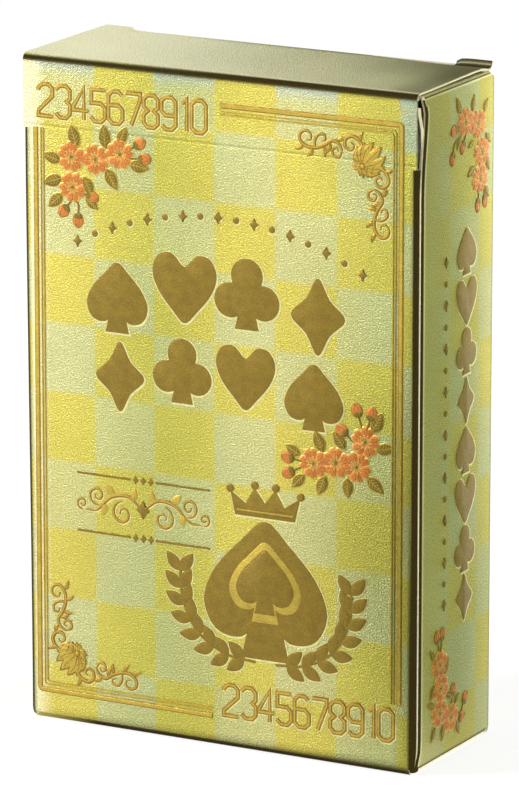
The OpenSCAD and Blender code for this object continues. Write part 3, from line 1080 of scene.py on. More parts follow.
# Digits as one line each, in millimetres
DIGITS = {
    "0": [(0, 0.6), (0, 3.8), (0.6, 4.4), (1.6, 4.4), (2.2, 3.8), (2.2, 0.6), (1.6, 0), (0.6, 0)],
    "1": [(0.45, 3.75), (1.15, 4.4), (1.15, 0)],
    "2": [(0, 3.5), (0, 3.8), (0.6, 4.4), (1.6, 4.4), (2.2, 3.8), (2.2, 2.8), (0, 0.7), (0, 0), (2.2, 0)],
    "3": [(0, 3.8), (0.6, 4.4), (1.6, 4.4), (2.2, 3.8), (2.2, 2.7), (1.7, 2.25), (2.2, 1.8), (2.2, 0.6),
          (1.6, 0), (0.6, 0), (0, 0.6)],
    "4": [(1.65, 0), (1.65, 4.4), (0, 1.7), (0, 1.3), (2.3, 1.3)],
    "5": [(2.15, 4.4), (0.1, 4.4), (0.1, 2.5), (1.6, 2.5), (2.2, 1.9), (2.2, 0.6), (1.6, 0), (0.6, 0),
          (0, 0.6)],
    "6": [(2.1, 3.9), (1.6, 4.4), (0.6, 4.4), (0, 3.8), (0, 0.6), (0.6, 0), (1.6, 0), (2.2, 0.6),
          (2.2, 1.9), (1.6, 2.5), (0.1, 2.5)],
    "7": [(0, 4.4), (2.2, 4.4), (2.2, 3.6), (0.8, 0)],
    "8": [(0.6, 2.25), (0, 2.8), (0, 3.8), (0.6, 4.4), (1.6, 4.4), (2.2, 3.8), (2.2, 2.8), (1.6, 2.25),
          (2.2, 1.7), (2.2, 0.6), (1.6, 0), (0.6, 0), (0, 0.6), (0, 1.7)],
    "9": [(0.1, 0.5), (0.6, 0), (1.6, 0), (2.2, 0.6), (2.2, 3.8), (1.6, 4.4), (0.6, 4.4), (0, 3.8),
          (0, 2.5), (0.6, 1.9), (2.1, 1.9)],
}
DIGIT_STEP, ONE_STEP = 2.62, 1.9  # from one digit to the next, and from a 1 to the next
NUMBER_GAP = 0.12  # and this much more from number to number
ROUND_DIGITS = "08"  # closed lines
BEND_REACH = 0.8  # a path gets points closer together this close to the lid's crease
BEND_STEP, LONG_STEP = 0.2, 3.0  # its points are at most this far apart there, and elsewhere
# Lines of a frame, as the way in from its outside and the width, and the radius of their corners
FRAME_LINES = ((0.0, 0.75), (0.8, 0.14), (1.2, 0.2))
FRAME_CORNER = 0.4


def bend_ready(path, s):
    """Adds points to a path on the front, closer together near the lid's crease."""
    out = [path[0]]
    for p, q in zip(path, path[1:]):
        p, q = np.array(p, float), np.array(q, float)
        span = float(np.linalg.norm(q - p))
        near = min(p[1], q[1]) < s.crease + BEND_REACH and max(p[1], q[1]) > s.crease - BEND_REACH
        step = BEND_STEP if near and abs(q[1] - p[1]) > 1 else LONG_STEP
        count = max(1, int(math.ceil(span / step)))
        out += [tuple(p + (q - p) * (k + 1) / count) for k in range(count)]
    return out


def lined_frame(e, left, right, low, high, gap=None):
    """A thick line and two thin ones round a panel. A gap (across, up) breaks them at opposite corners."""
    k = FRAME_CORNER
    for inward, width in FRAME_LINES:
        a, b, c, d = left + inward, right - inward, low + inward, high - inward
        upper, lower = arc(b - k, d - k, k, 90, 0, 5), arc(a + k, c + k, k, 180, 270, 5)
        if gap:
            start, end = (a, high + low - gap[1] - 0.1), (left + right - gap[0], c)
            upper, lower = [(gap[0], d), *upper, (b, gap[1])], [start, *lower, end]
            runs = [bend_ready(run, e.s) for run in (upper, lower)]
        else:
            run = [*upper, *arc(b - k, c + k, k, 0, -90, 5), *lower[::-1], *arc(a + k, d - k, k, 180, 90, 5)]
            runs = [bend_ready([*run, run[0]], e.s)[:-1]]
        for run in runs:
            # The thin lines have no darker edge
            if inward == 0:
                e.line("amber", run, width, 0.8, gap is None)
            e.line("gold", run, width * (1 if inward else 0.76), 1.25, gap is None)


class DECK_OT_frame_print(bpy.types.Operator):
    """Emboss the lined frames, and the two rows of card numbers on the front"""

    bl_idname = "deck.frame_print"
    bl_label = "Frame and numbers"

    def execute(self, context):
        e = Emboss("front")
        lined_frame(e, -28.4, 27.6, 4.2, 89.6, (0.3, 9.8))
        for u, v in ((-27.9, 85.55), (0.75, 4.55)):
            for number in range(2, 11):
                for digit in str(number):
                    marks = [(u + a, v + b) for a, b in DIGITS[digit]]
                    closed = digit in ROUND_DIGITS
                    # A painted highlight rim, set down and right of the digit
                    e.line("rim", [(a + 0.08, b - 0.1) for a, b in marks], 0.84, 0.4, closed)
                    e.line("amber", marks, 0.66, 0.9, closed)
                    e.line("gold", marks, 0.34, 1.3, closed)
                    u += ONE_STEP if digit == "1" else DIGIT_STEP
                u += NUMBER_GAP
        e.pieces("front_frame")
        e = Emboss("back")
        lined_frame(e, -28.0, 28.0, 4.2, 83.4)
        e.pieces("back_frame")
        return {"FINISHED"}


# A petal, a leaf and a bud of size 1
PETAL = [(0.06, 0), (0.24, 0.18), (0.5, 0.4), (0.78, 0.46), (1.0, 0.3), (1.0, 0.12), (0.84, 0.0)]
PETAL = smooth(mirrored(PETAL, b=-1), 2, True)
LEAF = [(t, 0.29 * math.sin(math.pi * t) ** 0.8 * (1.1 - 0.35 * t)) for t in np.linspace(0, 1, 12)]
LEAF = mirrored(LEAF, b=-1)
BUD = smooth(mirrored([(-0.5, 0), (-0.3, 0.34), (0.1, 0.42), (0.42, 0.26), (0.56, 0)], b=-1), 3, True)


def blossom(e, u, v, r, turn):
    """Five notched petals with an edge, and a heart ringed with stamens."""
    broad = 0.03 if e.panel in ("left", "right") else 0.05
    for k in range(5):
        petal = placed(PETAL, u, v, r, turn + 72 * k)
        middle = placed([(0.62, 0)], u, v, r, turn + 72 * k)[0]
        e.plate("stamen", petal, 0.8, 0.06, grow=broad)
        e.pillow("coral", [(u + 0.97 * (a - u), v + 0.97 * (b - v)) for a, b in petal], 1.4, middle)
        for lean in (-17, 0, 17):
            vein = [(0.46, 0), (0.84 - 0.004 * abs(lean), 0)]
            e.line("amber", placed(vein, u, v, r, turn + 72 * k + lean), 0.1, 1.62)
    e.line("stamen", ring(u, v, 0.34 * r, 15), 0.13, 1.6, True)
    for k in range(10):
        tip = placed([(0.46, 0)], u, v, r, turn + 18 + 36 * k)[0]
        e.line("stamen", [(u, v), tip], 0.1, 1.7)
        e.pillow("stamen", ring(*tip, 0.12, 7), 1.9)
    e.pillow("leaf", ring(u, v, 0.16 * r, 12), 1.9)


def leaf(e, u, v, size, turn):
    """A pointed leaf with a light edge, a midrib and side veins."""
    blade = placed(LEAF, u, v, size, turn)
    e.plate("gold", blade, 0.6, 0.06, grow=0.08)
    e.pillow("leaf", blade, 1.15)
    e.line("gold", placed([(0.04, 0), (0.92, 0)], u, v, size, turn), 0.12, 1.5)
    for t in (0.22, 0.36, 0.5, 0.64, 0.76):
        for way in (-1, 1):
            e.line("gold", placed([(t, 0), (t + 0.14, way * 0.21 * (1.15 - t))], u, v, size, turn), 0.1, 1.45)


def bud(e, u, v, size, turn, stem):
    """A closed bud on its stem."""
    foot = placed([(-0.5, 0)], u, v, size, turn)[0]
    back = placed([(-1.1, 0)], u, v, size, turn)[0]
    e.line("leaf", smooth([stem, back, foot], 5), 0.24, 0.9)
    shape = placed(BUD, u, v, size, turn)
    e.plate("amber", shape, 0.7, 0.06, grow=0.07)
    e.pillow("coral", shape, 1.3)
    for way in (-0.16, 0.16):
        seam = [(-0.3, 0.6 * way), (0.1, way), (0.5, 0.2 * way)]
        e.line("amber", smooth(placed(seam, u, v, size, turn), 4), 0.09, 1.5)
    for way in (-38, 0, 38):
        e.pillow("leaf", placed(LEAF, *foot, size * 0.55, turn + way), 1.5)


# Sprays as (blossoms, leaves, buds): (u, v, turn), (u, v, size, turn) and (u, v, turn, foot of the stem)
FRONT_SPRAYS = [
    (
        [(-22.8, 80.3, 12), (-19.0, 80.3, 40), (-15.2, 81.4, 20), (-22.6, 76.1, 55)],
        [(-21.8, 81.6, 3.4, 110), (-17.4, 81.9, 3.4, 96), (-15.4, 82.6, 2.9, 66), (-24.4, 79.5, 3.0, 165),
         (-24.2, 77.2, 3.2, 198), (-24.2, 75.0, 3.0, 222), (-20.9, 77.8, 3.1, -62), (-17.4, 79.2, 3.3, -58),
         (-13.8, 80.2, 3.2, -8), (-20.6, 74.9, 2.5, -38)],
        [(-12.2, 83.1, 32, (-14.6, 82.0)), (-11.4, 81.1, 4, (-14.2, 81.3)),
         (-19.6, 75.0, -14, (-21.4, 75.8)), (-24.0, 72.7, 232, (-22.9, 74.6)),
         (-21.8, 71.6, 268, (-22.2, 74.4))],
    ),
    (
        [(22.4, 45.8, 8), (21.1, 42.2, 50), (18.0, 42.4, 22), (14.6, 41.9, 36)],
        [(23.4, 47.2, 3.3, 62), (23.9, 44.8, 3.0, 14), (22.6, 41.0, 3.2, -38), (19.7, 40.6, 2.9, -88),
         (16.4, 40.4, 3.0, -112), (13.2, 40.2, 2.8, -134), (16.0, 43.6, 3.2, 112), (19.4, 44.4, 3.0, 128),
         (12.6, 42.8, 2.6, 152)],
        [(21.1, 50.0, 108, (21.9, 47.6)), (23.3, 49.7, 74, (22.6, 47.6)), (18.9, 47.0, 140, (21.0, 45.4)),
         (10.7, 42.3, 172, (13.0, 42.0)), (10.8, 40.2, 206, (13.0, 41.2))],
    ),
]
SIDE_SPRAYS = [
    (
        [(1.8, 87.9, 10), (5.8, 86.9, 44), (7.0, 82.9, 26), (6.4, 79.3, 60)],
        [(0.4, 89.2, 3.2, 118), (4.0, 88.8, 3.0, 74), (7.4, 88.2, 2.8, 48), (8.2, 85.2, 2.6, -42),
         (8.4, 82.0, 2.8, -62), (8.0, 78.0, 2.6, -50), (4.8, 81.4, 3.1, 205), (4.6, 84.9, 2.4, 200),
         (0.4, 86.4, 2.6, 236)],
        [(-1.7, 87.3, 190, (0.4, 87.6)), (-2.2, 83.6, 250, (0.6, 86.4)), (1.0, 84.6, 240, (2.6, 86.6)),
         (5.8, 75.8, 262, (6.2, 77.6)), (8.1, 76.0, 284, (6.8, 77.6))],
    ),
    (
        [(-5.2, 14.2, 14), (-4.8, 10.8, 48), (-5.0, 7.3, 30), (-1.5, 5.8, 2)],
        [(-6.6, 15.2, 2.6, 132), (-6.4, 11.8, 2.9, 232), (-6.6, 8.6, 2.7, 158), (-6.2, 5.8, 2.8, 236),
         (-3.8, 5.4, 2.8, 262), (-3.6, 12.4, 3.0, 62), (-3.0, 9.6, 2.6, -28), (0.2, 4.8, 3.0, -58),
         (-0.4, 7.4, 2.4, 42)],
        [(-6.0, 18.2, 108, (-5.4, 16.0)), (-4.4, 18.3, 78, (-5.0, 16.0)), (-0.8, 9.5, 72, (-1.6, 7.4)),
         (3.0, 7.4, 52, (0.2, 6.2)), (2.0, 5.0, 18, (0.0, 5.4))],
    ),
]


class DECK_OT_sprays(bpy.types.Operator):
    """Emboss the sprays of blossom on the front and both sides"""

    bl_idname = "deck.sprays"
    bl_label = "Blossom sprays"

    def execute(self, context):
        # Each panel's sprays, and how far each is moved up
        for panel, sprays, moves in (
            ("front", FRONT_SPRAYS, (0, 0)),
            ("right", SIDE_SPRAYS, (0, 0)),
            ("left", SIDE_SPRAYS, (0, 0)),
            ("back", FRONT_SPRAYS, (-6, -32)),
        ):
            e = Emboss(panel)
            side = panel in ("left", "right")
            for (flowers, leaves, buds), up in zip(sprays, moves):
                for u, v, size, turn in leaves:
                    leaf(e, u, v + up, 0.85 * size if side else size, turn)
                for u, v, turn, (foot, rise) in buds:
                    bud(e, u, v + up, 1.9, turn, (foot, rise + up))
                for u, v, turn in flowers:
                    if side:
                        e.wider = (u, v + up, 1.22, 0.95)
                    blossom(e, u, v + up, 2.0 if side else 2.1, turn)
                e.wider = Emboss.wider
            e.pieces(panel + "_spray")
        return {"FINISHED"}


def volute(cu, cv, r0, r1, start, turns, steps=26):
    """A spiral from radius r0 in to r1."""
    return [
        (cu + r * math.cos(math.radians(a)), cv + r * math.sin(math.radians(a)))
        for r, a in ((r0 + (r1 - r0) * t, start + 360 * turns * t) for t in np.linspace(0, 1, steps))
    ]


def scroll_line(e, path, width):
    """A scroll that swells and thins out, dark amber below and gold on top.
    Its pale rim, set down and right, is a painted highlight, and the gold, set up and left, leaves the amber as
    painted shade on the lower side.
    """
    width = 0.8 * width
    swells = np.array([0.4 + 0.6 * math.sin(math.pi * f**0.6) for f in np.linspace(0, 1, len(path))])
    e.line("rim", [(u + 0.09, v - 0.1) for u, v in path], list(width * swells + 0.12), 0.35)
    e.line("amber", path, list(width * swells), 0.9)
    e.line("gold", [(u - 0.04, v + 0.05) for u, v in path], list(0.46 * width * swells), 1.35)


# Scrolls of a corner as (path, width): one rises from the palmette's foot, then three curls follow the frame
SCROLLS = [
    ([(4.6, 4.7), (4.2, 3.6), (4.3, 2.4), (5.0, 1.1), (6.2, 0.6), (7.1, 1.2), (7.0, 2.2), (6.2, 2.5),
      (5.8, 1.9), (6.2, 1.5)], 0.8),
    ([(7.6, 2.9), (8.0, 3.6), (8.8, 3.5), (9.0, 2.8), (8.4, 2.4), (8.1, 2.9)], 0.6),
    ([(7.5, 2.8), (8.0, 1.9), (9.0, 1.5), (10.2, 2.2), (11.6, 2.7), (13.0, 2.6), (13.9, 1.8), (13.8, 0.9),
      (13.0, 0.5), (12.3, 0.9), (12.3, 1.6), (12.9, 1.8)], 0.75),
    ([(11.6, 2.6), (11.6, 1.6), (11.0, 0.8), (10.2, 0.9), (10.1, 1.5), (10.6, 1.7)], 0.6),
]
# Fronds along the scrolls as (across, up, size, turn), and those of the palmette as (size, turn)
FRONDS = [
    (8.4, 1.6, 1.5, 205), (9.4, 1.8, 1.5, 70), (10.4, 2.3, 1.4, 100), (13.4, 2.4, 1.4, 30),
    (12.0, 2.7, 1.4, 60), (4.3, 2.6, 1.7, 20), (4.9, 1.3, 1.4, 255), (4.3, 3.6, 1.6, 5),
]
FAN = [(1.9, 313), (2.6, 289), (3.2, 267), (3.7, 245), (1.3, 20), (1.5, -5)]


def scroll_corner(e, cu, cv, way):
    """Scrolls along both edges of a frame's corner. way is 1 at the upper right and -1 at the lower left."""

    def spot(points, swap):
        return [(cu - way * (b if swap else a), cv - way * (a if swap else b)) for a, b in points]

    def frond(a, b, size, turn, swap, broad=0.75, curl=0.12):
        """A leaf that bends sideways, with a dark edge and midrib."""
        blade = [(p, broad * q + curl * math.sin(math.pi * p)) for p, q in LEAF]
        rib = [(p, curl * math.sin(math.pi * p)) for p in (0.08, 0.3, 0.55, 0.8)]
        shape = spot(placed(blade, a, b, size, turn), swap)
        e.plate("amber", shape, 0.85, 0.06, grow=0.1)
        e.pillow("gold", shape, 1.3)
        e.line("amber", spot(placed(rib, a, b, size, turn), swap), 0.12, 1.6)

    for swap in (False, True):
        for path, width in SCROLLS:
            scroll_line(e, spot(smooth(path, 5), swap), width)
        for a, b, size, turn in FRONDS:
            frond(a, b, size, turn, swap, 0.55)
    # Palmette in the corner: a fan of fronds over small leaves at its foot
    for swap in (False, True):
        for size, turn in FAN:
            frond(4.5, 4.5, size, turn, swap)
    frond(4.7, 4.7, 4.2, 225, False, 0.7, 0.0)
    for ink, r, rise in (("amber", 0.55, 1.5), ("gold", 0.32, 1.9)):
        e.pillow(ink, ring(cu - way * 4.5, cv - way * 4.5, r, 12), rise)


class DECK_OT_scrolls(bpy.types.Operator):
    """Emboss the scrolls in the corners of the frame and the flourish on the front"""

    bl_idname = "deck.scrolls"
    bl_label = "Scrolls"

    def execute(self, context):
        e = Emboss("front")
        scroll_corner(e, 26.3, 88.0, 1)
        scroll_corner(e, -26.9, 5.6, -1)
        # Flourish to the left of the emblem
        cu, cv = -11.8, 32.0
        curls = [
            (smooth([(0.4, 0.2), (2.4, 1.6), (5.0, 1.2), (7.2, -0.8), (9.0, -1.0)], 7), 0.7),
            (volute(3.2, -0.9, 1.7, 0.3, 80, -1.3), 0.6),
            (volute(7.2, 1.2, 1.4, 0.3, -100, 1.3), 0.55),
            (volute(9.6, -0.2, 0.9, 0.2, -90, 1.2), 0.45),
        ]
        for way in (-1, 1):
            for path, width in curls:
                scroll_line(e, [(cu + way * a, cv + b) for a, b in path], width)
            for a, b, size, turn in ((4.6, 1.4, 2.0, 48), (6.0, 0.2, 1.8, -80), (1.6, 1.0, 1.9, 100)):
                e.pillow("gold", [(cu + way * p, cv + q) for p, q in placed(LEAF, a, b, size, turn)], 1.2)
        e.plate("bronze", placed(PIPS["diamond"], cu, cv, 2.6), 1.2)
        for v in (27.9, 36.1):
            for a, b in ((-10.4, -2.0), (2.0, 10.4)):
                e.line("bronze", [(cu + a, v), (cu + b, v)], 0.3, 0.9)
            for a in (-1.2, 0, 1.2):
                e.pillow("bronze", placed(PIPS["diamond"], cu + a, v, 1.2), 1.0)
        e.pieces("front_scroll")
        e = Emboss("back")
        scroll_corner(e, 26.7, 81.8, 1)
        scroll_corner(e, -26.5, 5.6, -1)
        e.pieces("back_scroll")
        return {"FINISHED"}


CROWN = [(-4.6, 0), (-5.4, 3.6), (-3.0, 1.9), (-1.6, 4.4), (0, 2.2)]
CROWN += [(-a, b) for a, b in CROWN[-2::-1]]
# The front's two rows of pips, as suit, place and size
FRONT_PIPS = [
    ("spade", -15.7, 61.4, 9.8), ("heart", -5.2, 64.0, 9.6),
    ("club", 4.4, 64.1, 9.8), ("diamond", 15.2, 62.2, 10.4),
    ("diamond", -15.3, 50.4, 9.6), ("club", -5.6, 52.3, 9.0),
    ("heart", 4.2, 52.6, 8.8), ("spade", 14.6, 51.0, 9.2),
]
BEADS = 17
ARC_HALF, ARC_TOP, ARC_SAG = 21.9, 74.2, 5.5  # the front's arc of beads
COLUMN_AT, COLUMN_TOP, COLUMN_FOOT = -4.0, 69.8, 22.3  # the sides' column of beads
SIDE_PIPS_AT, SIDE_PIPS_TOP = 2.2, 70.2  # and their column of pips
SIDE_PIP_STEP, SIDE_PIP, BACK_PIP = 6.9, 6.4, 9.0  # its step, and the sizes of pips
SUITS = ("spade", "heart", "club", "diamond")


def on_rim(e, shape, rise=1.25, edge=0.28):
    """A bronze shape on a painted highlight rim, set down and right."""
    e.plate("rim", [(a + 0.1, b - 0.12) for a, b in shape], 0.45, 0.1, grow=0.16)
    e.plate("bronze", shape, rise, edge)


def emblem(e, cu, cv):
    """A spade under a crown, between two sprays of laurel."""
    on_rim(e, placed(PIPS["spade"], cu, cv, 19.5), 1.2, 0.3)
    e.plate("gold", placed(PIPS["spade"], cu, cv + 1.2, 11.5), 1.9, 0.25)
    e.plate("bronze", placed(PIPS["spade"], cu, cv + 1.3, 9.4), 2.5, 0.25)
    on_rim(e, [(cu + a, cv + 10.3 + b * 0.95) for a, b in CROWN], 1.25, 0.2)
    for a, b in CROWN[1:8:2]:
        e.pillow("bronze", ring(cu + a, cv + 10.5 + b * 0.95, 0.6, 12), 1.4)
    e.line("gold", [(cu - 4.3, cv + 11.1), (cu + 4.3, cv + 11.1)], 0.3, 1.8)
    bough = smooth([(1.6, -10.2), (6.4, -9.6), (10.6, -7.0), (12.8, -2.8), (13.2, 2.0)], 6)
    for way in (-1, 1):
        e.line("bronze", [(cu + way * a, cv + b) for a, b in bough], 0.4, 1.0)
        for (c, d), (a, b) in zip(bough[::3], bough[2::3]):
            heading = math.degrees(math.atan2(b - d, a - c))
            for lean in (-38, 38):
                shape = [(cu + way * p, cv + q) for p, q in placed(LEAF, a, b, 3.4, heading + lean)]
                # A painted highlight rim under each leaf, set down and right
                e.plate("rim", [(p + 0.05, q - 0.06) for p, q in shape], 0.4, 0.08, grow=0.1)
                e.pillow("bronze", shape, 1.2)


class DECK_OT_pips(bpy.types.Operator):
    """Emboss the rows of suit pips, the beads and the crowned emblem"""

    bl_idname = "deck.pips"
    bl_label = "Pips and emblem"

    def execute(self, context):
        e = Emboss("front")
        for kind, u, v, size in FRONT_PIPS:
            on_rim(e, placed(PIPS[kind], u, v, size))
        # Beads along an arc above the pips
        for k in range(BEADS):
            u = -ARC_HALF + 2 * ARC_HALF * k / (BEADS - 1)
            v = ARC_TOP - ARC_SAG * (u / ARC_HALF) ** 2
            # A painted highlight rim under each bead, set down and right
            e.plate("rim", ring(u + 0.09, v - 0.09, 0.6, 14), 0.4, 0.1)
            if k % 2:
                e.pillow("bronze", ring(u, v, 0.5, 14), 1.2)
            else:
                e.plate("bronze", placed(PIPS["diamond"], u, v, 1.7), 1.1, 0.12)
        emblem(e, 7.2, 23.0)
        e.pieces("front_pips")
        e = Emboss("back")
        for kind, u, v in zip(SUITS, (0, 9.5, 0, -9.5), (53.5, 44, 34.5, 44)):
            on_rim(e, placed(PIPS[kind], u, v, BACK_PIP))
        e.pieces("back_pips")
        for panel in ("right", "left"):
            e = Emboss(panel)
            for k in range(2 * len(SUITS)):
                v = SIDE_PIPS_TOP - SIDE_PIP_STEP * k
                on_rim(e, placed(PIPS[SUITS[k % len(SUITS)]], SIDE_PIPS_AT, v, SIDE_PIP))
            for k in range(BEADS):
                v = COLUMN_TOP - (COLUMN_TOP - COLUMN_FOOT) * k / (BEADS - 1)
                if k % 2:
                    e.pillow("bronze", ring(COLUMN_AT, v, 0.45, 12), 1.1)
                else:
                    e.plate("bronze", placed(PIPS["diamond"], COLUMN_AT, v, 1.6), 1.0, 0.12)
            e.pieces(panel + "_pips")
        return {"FINISHED"}


# Cards

RANKS = "ace two three four five six seven eight nine ten jack queen king".split()
# Pips for the cards, with fewer points, and a star for the jokers
CARD_PIPS = {kind: outline[::2] for kind, outline in PIPS.items()}
CARD_PIPS["star"] = [placed([(0, (0.5, 0.21)[k % 2])], 0, 0, 1, 36 * k)[0] for k in range(10)]
CORNERS, MIDDLES = [(-1, 1), (1, 1), (-1, -1), (1, -1)], [(-1, 0), (1, 0)]
THIRDS = [(a, b / 3) for a, b in CORNERS]
# Places of the pips on each number, as shares of the way out from the card's middle
PIP_PLACES = {
    1: [(0, 0)],
    2: [(0, 1), (0, -1)],
    3: [(0, 1), (0, 0), (0, -1)],
    4: CORNERS,
    5: [*CORNERS, (0, 0)],
    6: [*CORNERS, *MIDDLES],
    7: [*CORNERS, *MIDDLES, (0, 0.5)],
    8: [*CORNERS, *MIDDLES, (0, 0.5), (0, -0.5)],
    9: [*CORNERS, *THIRDS, (0, 0)],
    10: [*CORNERS, *THIRDS, (0, 2 / 3), (0, -2 / 3)],
}
PIP_OUT, PIP_UP = 10.5, 27.0  # the outer pips' places from the card's middle, in millimetres
CARD_INK = 0.03  # rise of the ink on a card, as a share of the emboss
ACE_PIP, CARD_PIP, COURT_PIP, INDEX_PIP = 20.0, 9.0, 24.0, 4.8  # sizes of the pips
COURT_FRAME = [(-20, -36), (20, -36), (20, 36), (-20, 36)]
INDEX_AT, INDEX_UP, JOKER_UP = -24.6, 33.0, 39.4  # the corner pip's place, and its height on a joker
NUMBER_UP, NUMBER_STEP = 36.4, 2.6  # foot of the corner number, and the step between its digits


def card_face(e, name):
    """A card's pips, with its number and suit in two corners.
    A court card has a crowned pip in a frame, and a joker has a star."""
    cu, cv = e.turn_to(name)
    rank, _, suit = name.partition("_of_")
    number = RANKS.index(rank) + 1 if suit else 0
    kind = suit[:-1] if suit else "star"
    ink = "red" if kind in ("heart", "diamond") or name == "joker_two" else "black"

    def spot(points, way=1):
        """Points from the card's middle, turned half round where way is -1."""
        return [(cu + way * a, cv + way * b) for a, b in points]

    for a, b in PIP_PLACES.get(number, []):
        size = ACE_PIP if number == 1 else CARD_PIP
        e.mark(ink, spot(placed(CARD_PIPS[kind], PIP_OUT * a, PIP_UP * abs(b), size), -1 if b < 0 else 1))
    for way in (1, -1):
        up = INDEX_UP if number else JOKER_UP
        e.mark(ink, spot(placed(CARD_PIPS[kind], INDEX_AT, up, INDEX_PIP), way))
        start, size = (-27.0, 1.1) if number > 9 else (-26.1, 1.25)
        for k, digit in enumerate(str(number) if number else ""):
            path = placed(DIGITS[digit], start + NUMBER_STEP * k, NUMBER_UP, size)
            e.line(ink, spot(path, way), 0.75, CARD_INK, digit in ROUND_DIGITS)
        if number > 10:
            e.mark(ink, spot([(a * 1.3, 15.5 + b * 1.2) for a, b in CROWN], way))
    if number > 10 or not number:
        e.mark(ink, spot(placed(CARD_PIPS[kind], 0, 0, COURT_PIP)))
        e.line(ink, spot(COURT_FRAME), 0.5, CARD_INK, True)


class DECK_OT_cards(bpy.types.Operator):
    """Give the cards their stock and print their faces"""

    bl_idname = "deck.cards"
    bl_label = "Cards"

    def execute(self, context):
        stock = card_stock()
        e = CardPrint("card")
        for name in CARDS:
            card = frame["nodes"][name]
            card.data.materials.clear()
            card.data.materials.append(stock)
            card_face(e, name)
        e.pieces("card_print")
        return {"FINISHED"}


# Stage

MIDDLE = Vector((0, 0, 0.047))  # what the lamps and the camera point at
AZIMUTH, ELEVATION, DISTANCE = 28.45, 14.11, 0.877
LENS, SHIFT_UP = 288.15, -0.0055
# Lamps as name, place, size and power
LAMPS = (
    ("key", (-0.85, -0.55, 0.55), 0.4, 10.2),
    ("fill", (0.9, -0.5, 0.25), 0.9, 10.4),
    ("rim", (0.8, 0.7, 0.5), 0.6, 4.0),
)
OLIVE, MOSS, WHITE = "#565a16", "#6a8000", "#ffffff"
# Studio cards as tint, strength and corners in millimetres
SHINE_CARDS = {
    "card_behind": (OLIVE, 0.75, [(-58, 105, 94), (200, 105, 94), (200, 105, 300), (-58, 105, 300)]),
    "card_right": (MOSS, 1.25, [(40, -30, 0), (40, 20, 0), (40, 20, 130), (40, -30, 130)]),
    "card_front": (OLIVE, 1.0, [(15, -32, -1), (80, -32, -1), (80, -32, 48), (15, -32, 48)]),
    "card_left": (WHITE, 1.5, [(-220, -100, 0), (-75, -100, 0), (-75, -100, 130), (-220, -100, 130)]),
    "card_rear_low": (WHITE, 2.65, [(66, 100, 0), (160, 100, 0), (160, 100, 45), (66, 100, 45)]),
    "card_rear_high": (WHITE, 4.8, [(66, 100, 45), (160, 100, 45), (160, 100, 150), (66, 100, 150)]),
}
FLOOR_RADIUS, FLOOR_DROP = 3.0, 0.00002  # the drop keeps the floor clear of the carton's bottom
FLOOR_GLOW, FLOOR_SHARE = 1.25, 0.57  # the glow that makes the floor white, and its share
WHITE_LIGHT = (1.0, 1.0, 1.0, 1.0)
ROOM_LIGHT = 0.34  # light from all round, next to the lamps


def where_seen(tree, lit, seen, share=1.0):
    """Mixes in the second shader where the camera, a shine or a clear piece sees it."""
    path = node(tree, "LightPath").outputs
    fac = node(tree, "Math", [path["Is Camera Ray"], path["Is Glossy Ray"]], operation="MAXIMUM")
    fac = node(tree, "Math", [fac, path["Is Transmission Ray"]], operation="MAXIMUM")
    if share < 1:
        fac = node(tree, "Math", [fac, share], operation="MULTIPLY")
    return node(tree, "MixShader", [fac, lit, seen])


def stage_piece(name, points, material):
    """A flat piece of the stage."""
    mesh = bpy.data.meshes.new(name)
    mesh.from_pydata(points, [], [list(range(len(points)))])
    mesh.materials.append(material)
    piece = bpy.data.objects.new(name, mesh)
    bpy.context.scene.collection.objects.link(piece)
    return piece


def paper_tone(tree, patches, low, high):
    """Uneven tone of a paper surface, with this many patches in a metre."""
    spot = node(tree, "TexCoord").outputs["Object"]
    fibre = node(tree, "TexNoise", {"Vector": spot, "Scale": patches, "Detail": 2.0})
    return node(tree, "MapRange", [fibre, 0.0, 1.0, low, high])


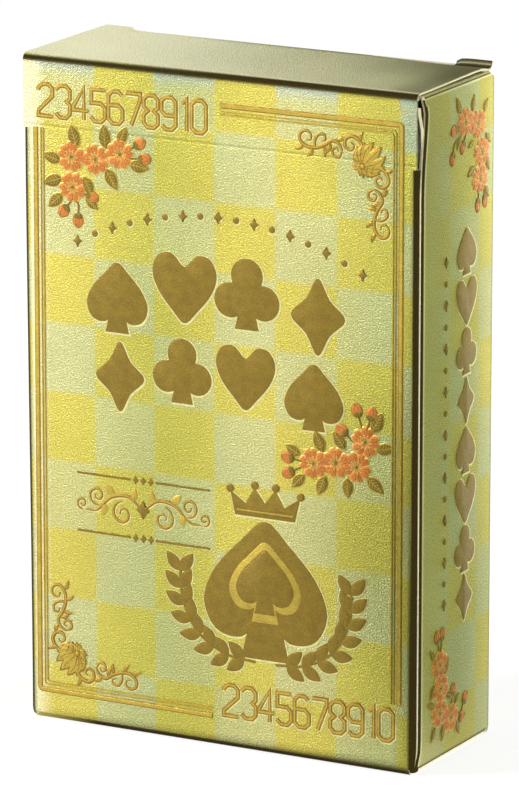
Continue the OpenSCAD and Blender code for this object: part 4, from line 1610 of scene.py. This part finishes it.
class DECK_OT_stage(bpy.types.Operator):
    """Set up the floor, the studio cards, the lamps and the camera"""

    bl_idname = "deck.stage"
    bl_label = "Stage"

    def execute(self, context):
        scene = context.scene
        scene.view_settings.view_transform = "Standard"
        world = scene.world = bpy.data.worlds.new("Studio")
        world.use_nodes = True
        tree = world.node_tree
        tree.nodes.clear()
        lit = node(tree, "Background", {"Color": WHITE_LIGHT, "Strength": ROOM_LIGHT})
        seen = node(tree, "Background", {"Color": WHITE_LIGHT, "Strength": 1.0})
        node(tree, "OutputWorld", [where_seen(tree, lit, seen)])

        # Pale paper floor, white to the camera away from the shadow
        material, tree = blank("Pale paper floor")
        paper = node(tree, "BsdfDiffuse", {"Color": paper_tone(tree, 300.0, 0.88, 0.92)})
        glow = node(tree, "Emission", {"Color": WHITE_LIGHT, "Strength": FLOOR_GLOW})
        node(tree, "OutputMaterial", [where_seen(tree, paper, glow, FLOOR_SHARE)])
        edge = ring(0, 0, FLOOR_RADIUS, 64)
        stage_piece("floor", [(u, v, -FLOOR_DROP) for u, v in edge], material)

        # Cards that only the foil's shine sees, as a studio sets them round shiny print
        for name, (tint, strength, corners) in SHINE_CARDS.items():
            material, tree = blank("Studio card " + name)
            tone = paper_tone(tree, 60.0, 0.8 * strength, 1.2 * strength)
            glow = node(tree, "Emission", {"Color": linear(tint), "Strength": tone})
            node(tree, "OutputMaterial", [glow])
            material.cycles.emission_sampling = "NONE"
            card = stage_piece(name, [tuple(k * MM for k in p) for p in corners], material)
            card.visible_camera = card.visible_diffuse = False
            card.visible_shadow = card.visible_transmission = False

        for name, at, size, power in LAMPS:
            lamp = bpy.data.lights.new(name, "AREA")
            lamp.energy, lamp.size, lamp.shape = power, size, "DISK"
            holder = bpy.data.objects.new(name, lamp)
            holder.location = at
            holder.rotation_euler = (MIDDLE - Vector(at)).to_track_quat("-Z", "Y").to_euler()
            holder.visible_glossy = name != "fill"  # the foil mirrors the studio cards on that side
            scene.collection.objects.link(holder)

        a, b = math.radians(AZIMUTH), math.radians(ELEVATION)
        back = Vector((math.sin(a) * math.cos(b), -math.cos(a) * math.cos(b), math.sin(b)))
        view = bpy.data.cameras.new("camera")
        view.lens, view.sensor_width, view.shift_y = LENS, 36.0, SHIFT_UP
        view.clip_start, view.clip_end = 0.05, 20.0
        camera = bpy.data.objects.new("camera", view)
        camera.location = MIDDLE + back * DISTANCE
        camera.rotation_euler = (-back).to_track_quat("-Z", "Y").to_euler()
        scene.collection.objects.link(camera)
        scene.camera = camera
        return {"FINISHED"}


STEPS = (
    DECK_OT_carton,
    DECK_OT_lid,
    DECK_OT_tuck_flap,
    DECK_OT_dust_flaps,
    DECK_OT_frame_print,
    DECK_OT_sprays,
    DECK_OT_scrolls,
    DECK_OT_pips,
    DECK_OT_cards,
    DECK_OT_stage,
)


class DECK_PT_steps(bpy.types.Panel):
    """Lists the steps that dress the deck"""

    bl_idname = "DECK_PT_steps"
    bl_label = "Boxed deck"
    bl_space_type = "VIEW_3D"
    bl_region_type = "UI"
    bl_category = "Deck"

    def draw(self, context):
        for step in STEPS:
            self.layout.operator(step.bl_idname)
        scene = context.scene
        for group, holder in ((scene.deck_sizes, DeckSizes), (scene.deck_colours, DeckColours)):
            box = self.layout.box()
            for key in holder.__annotations__:
                box.prop(group, key)


CLASSES = (DeckSizes, DeckColours, *STEPS, DECK_PT_steps)


def register():
    for kind in CLASSES:
        bpy.utils.register_class(kind)
    bpy.types.Scene.deck_sizes = bpy.props.PointerProperty(type=DeckSizes)
    bpy.types.Scene.deck_colours = bpy.props.PointerProperty(type=DeckColours)


def unregister():
    del bpy.types.Scene.deck_colours
    del bpy.types.Scene.deck_sizes
    for kind in reversed(CLASSES):
        bpy.utils.unregister_class(kind)


def main():
    register()
    for step in STEPS:
        group, name = step.bl_idname.split(".")
        getattr(getattr(bpy.ops, group), name)()


if __name__ == "__main__":
    main()
